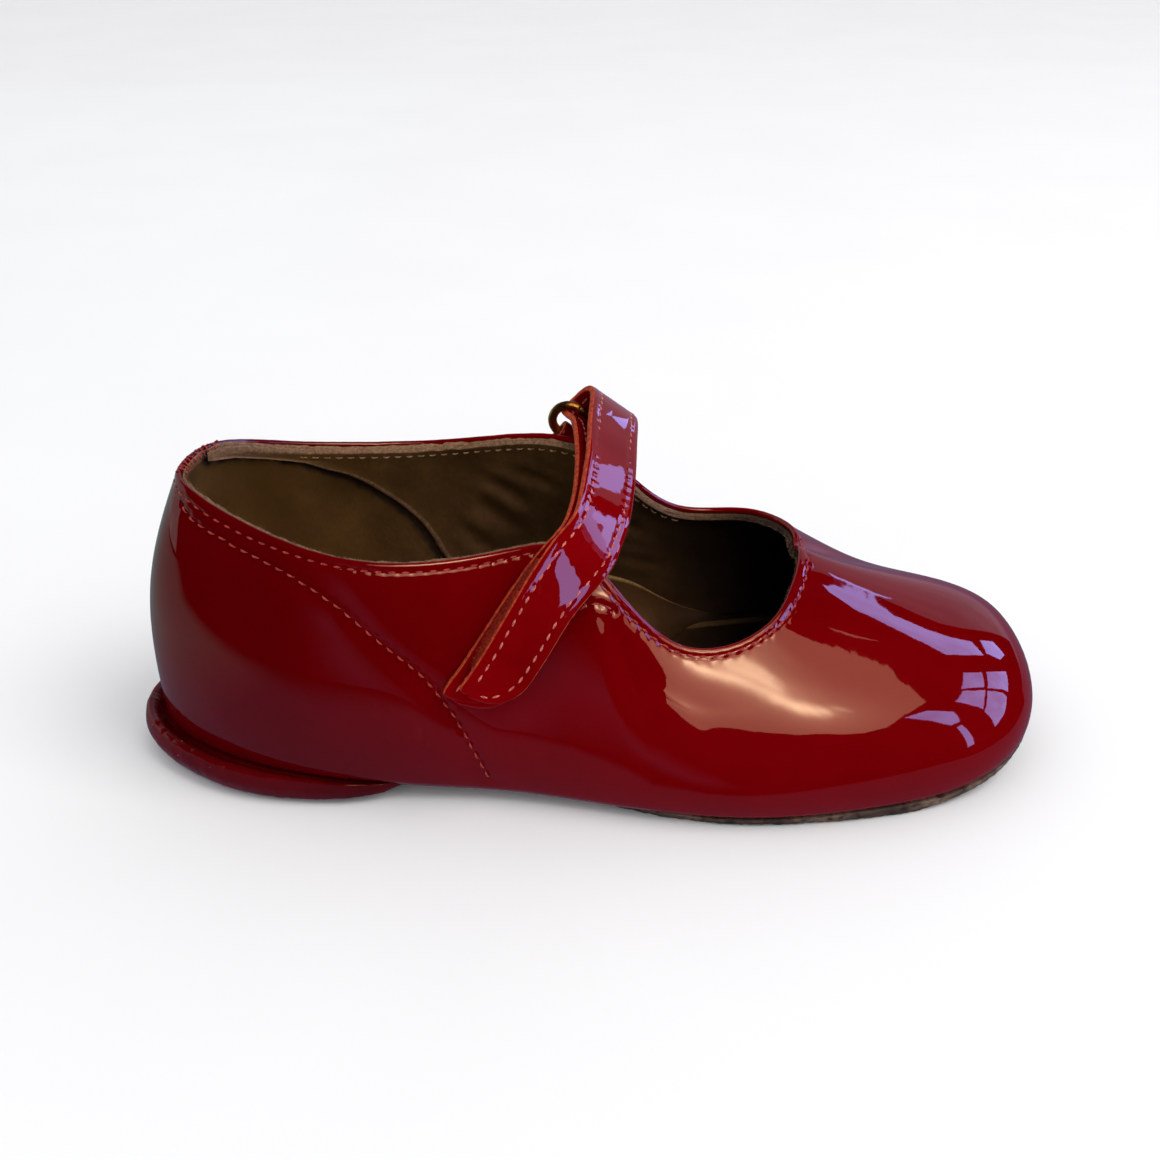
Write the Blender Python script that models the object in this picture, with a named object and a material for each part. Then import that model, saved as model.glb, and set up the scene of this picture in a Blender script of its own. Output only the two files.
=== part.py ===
# Child's strap shoe, right foot: one low cut patent upper on a flat wedge,
# a strap that runs through an oval ring and folds back over itself.
# Lengths are in millimetres in the tables and turned into metres at the end.
# The last stands with the heel back near x = 0, toe to +x, lateral side -y.
import bpy, bmesh, math
import numpy as np
from mathutils import Vector
from mathutils.bvhtree import BVHTree

for ob in list(bpy.data.objects):
    bpy.data.objects.remove(ob, do_unlink=True)

MM = 0.001
ORIGIN_X = 80.065          # middle of the whole shoe along its length
ORIGIN_Y = -1.094         # middle of the whole shoe across its width
WALL = 2.2               # outer leather, lining and turned edge together
GAP = 0.3                # clearance between two pieces
MARGIN = 6.0             # width of the lasted margin turned in under the foot
MARGIN_T = 1.5
INSOLE_T = 1.8
INSOLE_INSET = 2.75
OUTSOLE_HEEL_T = 1.6     # outsole thickness under the heel wedge
WEDGE_END = 51.5         # where the heel wedge runs out under the arch
RIM_OUT = 3.7            # how far the rolled heel rim stands out at the back
STRAP_T = 1.2
TAPE_T = 1.2
RING_R = 3.0             # half the distance between the two bars of the ring
WIRE_R = 0.8
N_AROUND = 88            # stations round the upper
N_PAIRS = 44             # cross sections of the flat pieces

# One row per section round the shoe, from the heel back along the lateral
# side to the toe and back along the medial side.
# around: share of the way round, face: heading of the outward side (deg),
# fx fy: feather line, o1 h1: how far the wall runs out and up off the feather,
# o2 h2: how far the wall lies out and down from the top line, tx ty tz: top line
LAST = [
    ("heel_back", 0.000, -180.0,   4.6,  -1.2, 1.0, 21.5,  7.9, -17.5,  13.5,  -1.8, 53.1),
    ("L_heel1",   0.038, -141.0,   9.5, -11.9, 1.3, 20.6,  8.0, -15.8,  16.5,  -9.8, 52.4),
    ("L_heel2",   0.082, -107.9,  22.3, -20.5, 2.2, 17.6,  6.4, -13.9,  29.3, -17.4, 48.4),
    ("L_heel3",   0.142,  -94.8,  42.5, -24.3, 3.5, 14.1,  4.7, -11.1,  47.7, -21.5, 44.8),
    ("L_waist",   0.205,  -98.0,  65.0, -24.9, 4.4, 12.1,  4.0, -10.5,  66.0, -18.1, 44.6),
    ("L_instep",  0.274, -102.3,  87.0, -29.0, 4.6, 11.6,  5.1,  -8.7,  81.1, -18.2, 43.3),
    ("L_ball",    0.335,  -95.4, 108.2, -31.8, 4.9, 11.3,  6.5,  -7.2,  95.6, -22.0, 29.9),
    ("L_toe1",    0.385,  -78.8, 128.8, -30.0, 4.5, 12.5,  8.3,  -7.9, 109.1, -18.7, 30.6),
    ("L_toe2",    0.431,  -56.3, 147.7, -23.6, 3.9, 14.2, 12.5,  -9.3, 114.9, -10.4, 33.8),
    ("L_toe3",    0.470,  -29.5, 157.7, -11.2, 3.4, 16.0, 16.8,  -9.3, 116.8,  -4.0, 35.2),
    ("toe_tip",   0.508,    0.9, 158.9,   7.4, 3.1, 17.2, 18.5,  -9.4, 117.4,   0.7, 35.3),
    ("M_toe3",    0.543,   34.8, 154.7,  18.4, 3.4, 15.3, 15.0, -11.6, 117.4,   3.8, 34.4),
    ("M_toe2",    0.577,   63.9, 144.8,  24.6, 3.7, 11.9, 12.1,  -9.7, 117.4,   8.4, 35.1),
    ("M_toe1",    0.617,   83.5, 130.7,  28.5, 4.4, 11.6,  9.4,  -4.4, 110.4,  17.9, 34.1),
    ("M_ball",    0.665,   97.5, 112.4,  29.3, 4.8, 10.8,  7.3,  -5.3,  97.0,  19.3, 34.5),
    ("M_instep",  0.727,  102.1,  89.9,  25.0, 4.5, 11.4,  5.5,  -8.0,  83.2,  15.7, 47.3),
    ("M_waist",   0.798,   96.5,  64.3,  20.9, 4.5, 13.1,  4.0, -11.5,  65.9,  20.4, 48.3),
    ("M_heel3",   0.861,   91.4,  42.4,  20.6, 3.6, 15.0,  4.2, -12.5,  49.1,  21.7, 46.6),
    ("M_heel2",   0.920,  103.8,  22.3,  19.7, 2.5, 17.3,  5.3, -14.7,  27.9,  16.2, 49.2),
    ("M_heel1",   0.964,  139.6,   9.5,  11.7, 1.6, 20.0,  6.3, -16.9,  16.8,   7.7, 52.8),
]
# Height of the feather line (the underside of the upper) along the shoe
FEATHER = [  # x, z
    (5, 5.85), (25, 5.85), (45, 4.30), (65, 3.20), (88, 2.40), (110, 2.12),
    (130, 2.83), (147, 4.25), (157, 7.00), (164, 8.10)]
# Underside of the outsole: heel flat, arch, forefoot flat, toe spring
TREAD = [  # x, z
    (0, 0.0), (42, 0.0), (54, 0.75), (68, 1.05), (84, 0.55), (97, 0.0),
    (136, 0.0), (142, 0.75), (148, 1.95), (154, 3.45), (160, 5.2), (166, 6.8)]
# Top of the outsole where the wedge lies over it
OUTSOLE_TOP = [(0, 1.6), (38, 1.6), (45, 2.05), (51.5, 2.75), (58, 3.25), (65, 2.90)]
# How far the outsole edge stands in from the feather line
OUTSOLE_INSET = [(0, 1.7), (44, 1.7), (55, 2.3), (74, 2.4), (90, 0.9), (104, 0.2), (170, 0.1)]
# Rolled heel rim: share of the full roll, height of its underside, and how
# far its top stands above the wedge face, along x
RIM = [  # x, roll, z_under, top_lift
    (-5, 1.10, 0.80, 2.3), (2, 1.10, 0.80, 2.3), (10, 0.97, 0.60, 1.2), (20, 0.87, 0.50, 0.6),
    (28, 0.66, 0.60, 0.4), (36, 0.46, 0.90, 0.25), (44, 0.30, 1.60, 0.1), (51.5, 0.03, 3.15, 0.0)]
# How far the wedge edge stands in from the feather line past the rolled rim
WEDGE_INSET = [(0, 0.0), (40, 0.0), (46, 0.6), (51.5, 3.0)]

# Strap run, given in the strap's own plane: "a" climbs along the strap
# (0.6, 0, 0.8), "b" crosses it towards the toe (0.8, 0, -0.6).
# side "L": laid on the lateral wall at the height "out" off the leather,
# side "free": "out" is the y position in the air.
STRAP = [  # part, side, a, out, b_heel_edge, b_toe_edge
    ("base_end",   "L",    53.2,  0.9, 31.9, 35.0),
    ("base_end",   "L",    54.6,  0.9, 31.6, 38.4),
    ("base_sewn",  "L",    57.0,  0.9, 31.6, 40.6),
    ("base_sewn",  "L",    63.0,  0.9, 31.5, 41.2),
    ("base_sewn",  "L",    69.5,  0.9, 31.4, 41.0),
    ("base_sewn",  "L",    76.0,  0.9, 31.5, 41.0),
    ("base_sewn",  "L",    81.0,  0.9, 31.9, 41.3),
    ("base_over",  "L",    83.4,  1.0, 32.3, 41.6),
    ("base_free",  "free", 86.1, -12.9, 32.7, 42.1),
    ("base_free",  "free", 87.3,  -8.0, 32.8, 42.3),
    ("base_free",  "free", 88.5,  -2.5, 32.4, 42.0),
    ("base_free",  "free", 89.8,   5.0, 31.5, 41.2),
    ("base_free",  "free", 90.1,  12.0, 30.7, 40.4),
    ("base_free",  "free", 89.2,  17.0, 30.5, 40.1),
    ("in_ring",    "free", 88.0,  20.6, 30.6, 40.1),
    ("in_ring",    "free", 87.8,  23.1, 30.6, 40.1),
    ("fold",       "free", 89.4,  24.7, 30.7, 40.3),
    ("fold",       "free", 91.6,  24.5, 31.0, 40.6),
    ("fold",       "free", 93.7,  22.4, 31.2, 40.8),
    ("fold",       "free", 94.7,  18.9, 31.2, 40.9),
    ("top_free",   "free", 94.5,  12.5, 31.1, 40.9),
    ("top_free",   "free", 93.3,   6.0, 31.5, 41.3),
    ("top_free",   "free", 91.7,   0.0, 32.2, 41.9),
    ("top_free",   "free", 90.3,  -6.0, 32.6, 42.3),
    ("top_free",   "free", 88.9, -11.6, 32.9, 42.4),
    ("top_free",   "free", 87.1, -16.3, 32.8, 42.2),
    ("top_over",   "L",    83.7,  2.8, 32.7, 42.0),
    ("top_laid",   "L",    79.5,  3.9, 32.6, 41.7),
    ("top_laid",   "L",    76.0,  3.9, 32.6, 41.6),
    ("top_laid",   "L",    70.5,  3.9, 32.7, 42.0),
    ("top_laid",   "L",    65.5,  3.9, 32.8, 42.2),
    ("top_end",    "L",    62.0,  3.9, 32.9, 42.0),
    ("top_end",    "L",    59.6,  3.9, 32.9, 41.0),
    ("top_end",    "L",    57.9,  3.9, 32.9, 39.6),
    ("top_end",    "L",    56.7,  3.9, 32.9, 37.6),
    ("top_end",    "L",    56.1,  3.9, 33.2, 35.4),
]
TAPE = [  # part, side, a, out, b_heel_edge, b_toe_edge
    ("tape", "L", 59.6, 2.4, 33.2, 39.6),
    ("tape", "L", 64.0, 2.4, 32.5, 40.7),
    ("tape", "L", 70.0, 2.4, 32.3, 40.6),
    ("tape", "L", 75.0, 2.4, 32.2, 40.4),
    ("tape", "L", 79.0, 2.4, 32.3, 40.4),
]
BAR_LOW = (84.1, 21.4)    # a, y of the lower bar of the ring
BAR_HIGH = (90.1, 20.6)   # a, y of the upper bar of the ring
RING_B = (31.8, 40.0)     # b of the centres of the two rounded ends
TAB_LOOP = WIRE_R + 0.35 + STRAP_T / 2
TAB = [  # side "M": laid on the medial wall
    ("sewn_in",  "M",    67.5, 0.9, 31.2, 40.6),
    ("sewn_in",  "M",    73.0, 0.9, 31.4, 40.4),
    ("sewn_in",  "M",    78.5, 0.9, 31.7, 40.1),
    ("loop",     "free", 82.3, BAR_LOW[1] - TAB_LOOP + 0.15, 31.7, 40.1),
    ("loop",     "free", 84.1, BAR_LOW[1] - TAB_LOOP, 31.7, 40.1),
    ("loop",     "free", 85.4, BAR_LOW[1] - TAB_LOOP * 0.7, 31.7, 40.1),
    ("loop",     "free", 84.1 + TAB_LOOP, BAR_LOW[1], 31.7, 40.1),
    ("loop",     "free", 85.4, BAR_LOW[1] + TAB_LOOP * 0.7, 31.7, 40.1),
    ("loop",     "free", 84.1, BAR_LOW[1] + TAB_LOOP, 31.7, 40.1),
    ("loop",     "free", 82.2, BAR_LOW[1] + TAB_LOOP + 0.1, 31.7, 40.1),
    ("sewn_out", "M",    77.5, 2.6, 31.6, 40.2),
    ("sewn_out", "M",    72.5, 2.5, 31.3, 40.5),
    ("sewn_out", "M",    67.9, 2.5, 31.2, 40.6),
]


def spline(xs, ys, x):
    """Natural cubic through the knots, straight beyond the ends."""
    xs = np.asarray(xs, float); ys = np.asarray(ys, float)
    if ys.ndim == 1:
        return spline(xs, ys[:, None], x)[..., 0]
    x = np.asarray(x, float)
    n = len(xs); h = np.diff(xs)
    A = np.eye(n); B = np.zeros((n, ys.shape[1]))
    for i in range(1, n - 1):
        A[i, i - 1] = h[i - 1]; A[i, i] = 2 * (h[i - 1] + h[i]); A[i, i + 1] = h[i]
        B[i] = 6 * ((ys[i + 1] - ys[i]) / h[i] - (ys[i] - ys[i - 1]) / h[i - 1])
    m = np.linalg.solve(A, B)
    xc = np.clip(x, xs[0], xs[-1])
    i = np.clip(np.searchsorted(xs, xc, side="right") - 1, 0, n - 2)
    hh = h[i][..., None]
    b = (xc - xs[i])[..., None] / hh; a = 1 - b
    out = a * ys[i] + b * ys[i + 1] + ((a**3 - a) * m[i] + (b**3 - b) * m[i + 1]) * hh * hh / 6
    s0 = (ys[1] - ys[0]) / h[0] - h[0] / 6 * m[1]
    s1 = (ys[-1] - ys[-2]) / h[-1] + h[-1] / 6 * m[-2]
    out = out + np.minimum(x - xs[0], 0)[..., None] * s0 + np.maximum(x - xs[-1], 0)[..., None] * s1
    return out


def ring_spline(us, ys, u):
    """Closed cubic through values given at shares of the way round."""
    us = np.asarray(us, float); ys = np.asarray(ys, float)
    k = 4
    xs = np.concatenate([us[-k:] - 1, us, us[:k] + 1])
    vs = np.concatenate([ys[-k:], ys, ys[:k]])
    return spline(xs, vs, np.asarray(u, float) % 1.0)


def lin(table, x, col=1):
    t = np.array(table, float)
    return np.interp(x, t[:, 0], t[:, col])


def feather_z(x):
    return spline([r[0] for r in FEATHER], [r[1] for r in FEATHER], x)


ROUND = [r[1] for r in LAST]
NUM = np.array([r[2:] for r in LAST], float)
FACE = np.stack([np.cos(np.radians(NUM[:, 0])), np.sin(np.radians(NUM[:, 0])), 0 * NUM[:, 0]], 1)
UPZ = np.array([0, 0, 1.0])


def last_controls():
    f = np.stack([NUM[:, 1], NUM[:, 2], feather_z(NUM[:, 1])], 1)
    t = NUM[:, 7:10]
    p1 = f + FACE * NUM[:, 3:4] + UPZ * NUM[:, 4:5]
    p2 = t + FACE * NUM[:, 5:6] + UPZ * NUM[:, 6:7]
    return f, p1, p2, t


CONTROLS = [np.asarray(c) for c in last_controls()]


def wall(u, t):
    """Outside of the upper: u goes round the shoe, t up from feather to top line."""
    u = np.atleast_1d(u); t = np.atleast_1d(t)[None, :, None]
    f, p1, p2, q = [ring_spline(ROUND, c, u)[:, None, :] for c in CONTROLS]
    return (1 - t)**3 * f + 3 * (1 - t)**2 * t * p1 + 3 * (1 - t) * t * t * p2 + t**3 * q


def wall_normal(u, t):
    e = 1e-3
    u = np.atleast_1d(u); t = np.atleast_1d(t)
    du = wall(u + e, t) - wall(u - e, t)
    dt = wall(u, t + e) - wall(u, t - e)
    n = np.cross(du, dt)
    return n / np.linalg.norm(n, axis=2)[..., None]


def outline(u):
    """Feather line in plan and its outward heading."""
    p = ring_spline(ROUND, CONTROLS[0], u)[:, :2]
    h = ring_spline(ROUND, CONTROLS[0], u + 1e-3)[:, :2] - ring_spline(ROUND, CONTROLS[0], u - 1e-3)[:, :2]
    h = np.stack([h[:, 1], -h[:, 0]], 1)
    return p, h / np.linalg.norm(h, axis=1)[:, None]


def make(name, rows, base, rough, metal=0.0, closed_rows=False, closed_cols=True, caps=(False, False), sharp=50):
    """Skin a grid of points (rows x columns x xyz) into one closed solid."""
    rows = np.asarray(rows, float)
    nr, nc = rows.shape[:2]
    bm = bmesh.new()
    vs = [[bm.verts.new(((p[0] - ORIGIN_X) * MM, (p[1] - ORIGIN_Y) * MM, p[2] * MM)) for p in r] for r in rows]
    for i in range(nr if closed_rows else nr - 1):
        for j in range(nc if closed_cols else nc - 1):
            a, b = vs[i][j], vs[i][(j + 1) % nc]
            c, d = vs[(i + 1) % nr][(j + 1) % nc], vs[(i + 1) % nr][j]
            bm.faces.new((a, b, c, d))
    if caps[0]:
        bm.faces.new(list(reversed(vs[0])))
    if caps[1]:
        bm.faces.new(vs[-1])
    bmesh.ops.remove_doubles(bm, verts=bm.verts[:], dist=2e-5)
    bmesh.ops.dissolve_degenerate(bm, edges=bm.edges[:], dist=1e-6)
    bmesh.ops.triangulate(bm, faces=bm.faces[:])
    bmesh.ops.recalc_face_normals(bm, faces=bm.faces[:])
    if bm.calc_volume(signed=True) < 0:
        bmesh.ops.reverse_faces(bm, faces=bm.faces[:])
    for f in bm.faces:
        f.smooth = True
    for e in bm.edges:
        if len(e.link_faces) == 2 and e.calc_face_angle(0) > math.radians(sharp):
            e.smooth = False
    me = bpy.data.meshes.new(name)
    bm.to_mesh(me); bm.free()
    ob = bpy.data.objects.new(name, me)
    bpy.context.scene.collection.objects.link(ob)
    mat = bpy.data.materials.new(name + "_mat")
    mat.use_nodes = True
    bs = mat.node_tree.nodes["Principled BSDF"]
    bs.inputs["Base Color"].default_value = (*base, 1)
    bs.inputs["Roughness"].default_value = rough
    bs.inputs["Metallic"].default_value = metal
    me.materials.append(mat)
    return ob


# ---------------------------------------------------------------- upper
u = np.arange(N_AROUND) / N_AROUND
t_out = np.array([0.012, 0.055, 0.12, 0.21, 0.32, 0.44, 0.56, 0.68, 0.79, 0.89, 0.96, 1.0])
t_in = np.array([1.0, 0.95, 0.85, 0.73, 0.60, 0.46, 0.32, 0.20, 0.11])
skin = wall(u, t_out)
nrm = wall_normal(u, t_in)
inner = wall(u, t_in) - nrm * WALL
plan, head = outline(u)


def at_inset(d, lift):
    p = plan - head * d
    return np.concatenate([p, (feather_z(p[:, 0]) + lift)[:, None]], 1)[:, None, :]


lip = (skin[:, -1:] + inner[:, :1]) / 2 + (skin[:, -1:] - skin[:, -2:-1]) * 0.12
upper_rows = np.concatenate([
    at_inset(MARGIN, 0.0), at_inset(0.7, 0.0), skin, lip, inner,
    at_inset(WALL + 0.2, MARGIN_T), at_inset(MARGIN, MARGIN_T)], 1)
make("upper", upper_rows, (0.30, 0.004, 0.010), 0.12, closed_rows=True)

# ---------------------------------------------------------------- flat pieces
half = np.arange(N_PAIRS + 1) / N_PAIRS
TOE_U = 0.505
u_lat = half * TOE_U
u_med = 1.0 - half * (1.0 - TOE_U)


def side(u, out, z):
    """Edge points at a distance out from the feather line."""
    p, h = outline(u)
    q = p + h * np.asarray(out)[:, None] if np.ndim(out) else p + h * out
    return np.concatenate([q, (z(q[:, 0]) if callable(z) else z)[:, None]], 1)


def across(l, m, z, n):
    """Points between a lateral and a medial edge point, heights from z(x)."""
    k = (np.arange(1, n) / n)[None, :, None]
    p = l[:, None, :] * (1 - k) + m[:, None, :] * k
    p[..., 2] = z(p[..., 0])
    return p


def plate(name, edge, top, bottom, ul, um, n, colour, rough, cap_front=False, sharp=50):
    """edge(u) gives a list of edge rings from the top face down to the bottom face."""
    el, em = edge(ul), edge(um)
    cols = [l[:, None, :] for l in reversed(el)]
    cols.append(across(el[0], em[0], top, n))
    cols += [m[:, None, :] for m in em]
    cols.append(across(el[-1], em[-1], bottom, n)[:, ::-1])
    make(name, np.concatenate(cols, 1), colour, rough, caps=(False, cap_front), sharp=sharp)


tread_z = lambda x: lin(TREAD, x)
f_under = lambda x: feather_z(x) - GAP


def outsole_top(x):
    return np.where(x < 65, lin(OUTSOLE_TOP, x), f_under(x))


def outsole_edge(uu):
    p, _ = outline(uu)
    inset = lin(OUTSOLE_INSET, p[:, 0])
    a = side(uu, -inset - 0.25, outsole_top)
    b = side(uu, -inset, lambda x: outsole_top(x) - 0.25)
    c = side(uu, -inset - 0.05, lambda x: tread_z(x) + 0.45)
    d = side(uu, -inset - 0.45, tread_z)
    return [a, b, c, d]


plate("outsole", outsole_edge, outsole_top, tread_z, u_lat, u_med, 5, (0.045, 0.035, 0.030), 0.85)

insole_low = lambda x: feather_z(x) + MARGIN_T + GAP
insole_high = lambda x: feather_z(x) + MARGIN_T + GAP + INSOLE_T


def insole_edge(uu):
    return [side(uu, -INSOLE_INSET - 0.4, insole_high), side(uu, -INSOLE_INSET, lambda x: insole_high(x) - 0.4),
            side(uu, -INSOLE_INSET, insole_low)]


hs = np.arange(37) / 36
plate("insole", insole_edge, insole_high, insole_low, hs * TOE_U, 1 - hs * (1 - TOE_U), 5, (0.085, 0.050, 0.016), 0.6)


def u_at(x_goal, lo, hi):
    """Share of the way round at which the feather line reaches x_goal."""
    for _ in range(40):
        mid = (lo + hi) / 2
        if outline(np.array([mid]))[0][0, 0] < x_goal:
            lo = mid
        else:
            hi = mid
    return (lo + hi) / 2


hw = (np.arange(21) / 20) ** 0.9
wu_lat = hw * u_at(WEDGE_END, 0.03, 0.3)
wu_med = 1 - hw * (1 - u_at(WEDGE_END, 0.97, 0.7))
wedge_low = lambda x: lin(OUTSOLE_TOP, x) + GAP


def wedge_edge(uu):
    p, _ = outline(uu)
    k = lin(RIM, p[:, 0], 1); zu = lin(RIM, p[:, 0], 2)
    zt = f_under(p[:, 0])
    lift = lin(RIM, p[:, 0], 3)
    mid = (zt + zu) / 2 + lift * 0.35
    low = wedge_low(p[:, 0])
    w = lin(WEDGE_INSET, p[:, 0])
    # share by which the underside already lies over the outsole
    over = np.clip((1.7 + w - lin(OUTSOLE_INSET, p[:, 0])) / 0.4, 0, 1)
    return [side(uu, -1.6 - w, f_under),
            side(uu, 0.10 * k - w, zt - 0.55 * k - 0.05),
            side(uu, 1.1 * k - w, zt - 0.25 * k - 0.05 + lift * 0.3),
            side(uu, 2.2 * k - w, zt + lift),
            side(uu, 3.2 * k - w, zt - 0.20 * k + lift * 0.8),
            side(uu, RIM_OUT * k - w, mid + 0.6 * k),
            side(uu, (RIM_OUT - 0.35) * k - w, mid - 0.8 * k),
            side(uu, 2.4 * k - w, zu + 0.40 * k),
            side(uu, 1.1 * k - w, zu),
            side(uu, -0.9 - w, (1 - over) * np.minimum(zu + 0.1, low - 0.02) + over * low),
            side(uu, -1.35 - w, wedge_low)]


plate("heel_wedge", wedge_edge, f_under, wedge_low, wu_lat, wu_med, 4, (0.26, 0.004, 0.010), 0.15, cap_front=True, sharp=60)

# ---------------------------------------------------------------- strap, tape, tab
ug = np.arange(241) / 240
tg = np.linspace(0.0, 1.18, 60)
grid = wall(ug[:-1], tg)
gn = wall_normal(ug[:-1], tg)


def guide(lateral):
    """Search tree of one side of the wall, run on a little above the top line."""
    keep = [i for i in range(240) if (ug[i] < 0.5) == lateral]
    verts = [Vector(grid[i, j]) for i in keep for j in range(60)]
    nt = 60
    faces = []
    for a in range(len(keep) - 1):
        for j in range(nt - 1):
            faces.append((a * nt + j, a * nt + j + 1, (a + 1) * nt + j + 1, (a + 1) * nt + j))
    return BVHTree.FromPolygons(verts, faces), 1.0 if not lateral else -1.0


GUIDES = {"L": guide(True), "M": guide(False)}


def on_wall(where, x, z, off):
    tree, s = GUIDES[where]
    hit, n, _, _ = tree.ray_cast(Vector((x, s * 90, z)), Vector((0, -s, 0)))
    n = np.array(n)
    if n[1] * s < 0:
        n = -n
    return np.array(hit) + n * off


def ribbon_points(table, n_across):
    """Edge-to-edge points of every row of a strap table."""
    rows = []
    for _, where, a, out, b0, b1 in table:
        r = []
        for q in np.linspace(0, 1, n_across):
            b = b0 + (b1 - b0) * q
            x, z = 0.6 * a + 0.8 * b, 0.8 * a - 0.6 * b
            r.append([x, out, z] if where == "free" else on_wall(where, x, z, out))
        rows.append(r)
    return np.array(rows, float)


def ribbon(name, table, thick, n_across, n_along, colour, rough, dense_end=False):
    """Solid strap of even thickness swept along the rows of its table."""
    pts = ribbon_points(table, n_across)
    mid = pts[:, n_across // 2]
    s = np.concatenate([[0], np.cumsum(np.linalg.norm(np.diff(mid, axis=0), axis=1))])
    k = np.linspace(0, 1, n_along)
    if dense_end:      # closer stations towards the shaped free end
        k = 1 - (1 - k) ** 1.0
        k = np.sort(np.concatenate([k[:-3], (s[-6:-1] / s[-1])]))
        k = np.append(k[k < s[-2] / s[-1] - 1e-4], [s[-2] / s[-1], 1.0])
        k = k[np.concatenate([[True], np.diff(k) > 0.002])]
    at = k * s[-1]
    P = spline(s, pts.reshape(len(s), -1), at).reshape(len(at), n_across, 3)
    T = np.gradient(P, axis=0)
    A = np.gradient(P, axis=1)
    N = np.cross(A, T)
    N /= np.linalg.norm(N, axis=2)[..., None]
    up, dn = P + N * thick / 2, P - N * thick / 2
    make(name, np.concatenate([up, dn[:, ::-1]], 1), colour, rough, caps=(True, True), sharp=40)


ribbon("strap", STRAP, STRAP_T, 4, 78, (0.30, 0.004, 0.010), 0.12, dense_end=True)
ribbon("hook_loop_tape", TAPE, TAPE_T, 4, 12, (0.05, 0.008, 0.008), 0.9)
ribbon("ring_tab", TAB, STRAP_T, 3, 36, (0.28, 0.004, 0.010), 0.15)

# ---------------------------------------------------------------- ring
pa, pb = [], []
NB, NE = 5, 11
for e in np.linspace(math.pi, 2 * math.pi, NE):          # heel end, low bar to high bar
    pb.append(RING_B[0] + RING_R * math.sin(e)); pa.append(87.1 + RING_R * math.cos(e))
for q in np.linspace(0, 1, NB + 2)[1:-1]:
    pb.append(RING_B[0] + (RING_B[1] - RING_B[0]) * q); pa.append(87.1 + RING_R)
for e in np.linspace(0, math.pi, NE):
    pb.append(RING_B[1] + RING_R * math.sin(e)); pa.append(87.1 + RING_R * math.cos(e))
for q in np.linspace(1, 0, NB + 2)[1:-1]:
    pb.append(RING_B[0] + (RING_B[1] - RING_B[0]) * q); pa.append(87.1 - RING_R)
pa, pb = np.array(pa), np.array(pb)
lean = (BAR_HIGH[1] - BAR_LOW[1]) / (BAR_HIGH[0] - BAR_LOW[0])
path = np.stack([0.6 * pa + 0.8 * pb, BAR_LOW[1] + (pa - BAR_LOW[0]) * lean, 0.8 * pa - 0.6 * pb], 1)
tan = np.roll(path, -1, 0) - np.roll(path, 1, 0)
tan /= np.linalg.norm(tan, axis=1)[:, None]
flat = np.cross(path[8] - path[0], path[20] - path[0]); flat /= np.linalg.norm(flat)
side_v = np.cross(tan, flat)
ang = np.arange(8) * 2 * math.pi / 8
wire = path[:, None, :] + WIRE_R * (np.cos(ang)[None, :, None] * side_v[:, None, :] + np.sin(ang)[None, :, None] * flat[None, None, :])
make("ring", wire, (0.42, 0.30, 0.11), 0.3, metal=1.0, closed_rows=True, sharp=60)
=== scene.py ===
# Looks of the right foot strap shoe: red patent leather, brown lining,
# brass ring, hook and loop fastening, pebbled sole.
# Tables are in millimetres in the shoe's own last frame (heel back near x = 0,
# toe to +x, lateral side -y) and are turned into the row frame at the end.
import math, random
import bpy
import numpy as np
from mathutils import Vector, Matrix
from mathutils.bvhtree import BVHTree


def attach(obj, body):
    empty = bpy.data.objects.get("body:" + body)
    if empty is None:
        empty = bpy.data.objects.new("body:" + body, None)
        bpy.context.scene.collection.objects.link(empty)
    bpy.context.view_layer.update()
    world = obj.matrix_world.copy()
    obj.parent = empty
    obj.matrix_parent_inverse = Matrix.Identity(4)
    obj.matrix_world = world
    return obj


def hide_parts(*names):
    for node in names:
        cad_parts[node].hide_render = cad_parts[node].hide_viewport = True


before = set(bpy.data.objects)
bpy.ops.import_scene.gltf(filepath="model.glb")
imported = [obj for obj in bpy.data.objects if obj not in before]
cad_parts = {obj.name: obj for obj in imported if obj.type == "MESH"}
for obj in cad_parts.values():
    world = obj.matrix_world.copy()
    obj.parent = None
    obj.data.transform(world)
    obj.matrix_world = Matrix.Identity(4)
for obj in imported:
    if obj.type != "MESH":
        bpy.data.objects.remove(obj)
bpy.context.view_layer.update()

random.seed(7)
RNG = np.random.default_rng(7)

MM = 0.001
ORIGIN_X = 80.065          # middle of the whole shoe along its length
ORIGIN_Y = -1.094         # middle of the whole shoe across its width
WALL = 2.2               # outer leather, lining and turned edge together
GAP = 0.3                # clearance between two pieces
MARGIN = 6.0             # width of the lasted margin turned in under the foot
MARGIN_T = 1.5
INSOLE_T = 1.8
INSOLE_INSET = 2.75
OUTSOLE_HEEL_T = 1.6     # outsole thickness under the heel wedge
WEDGE_END = 51.5         # where the heel wedge runs out under the arch
RIM_OUT = 3.7            # how far the rolled heel rim stands out at the back
STRAP_T = 1.2
TAPE_T = 1.2
RING_R = 3.0             # half the distance between the two bars of the ring
WIRE_R = 0.8
N_AROUND = 88            # stations round the upper
N_PAIRS = 44             # cross sections of the flat pieces

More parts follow.
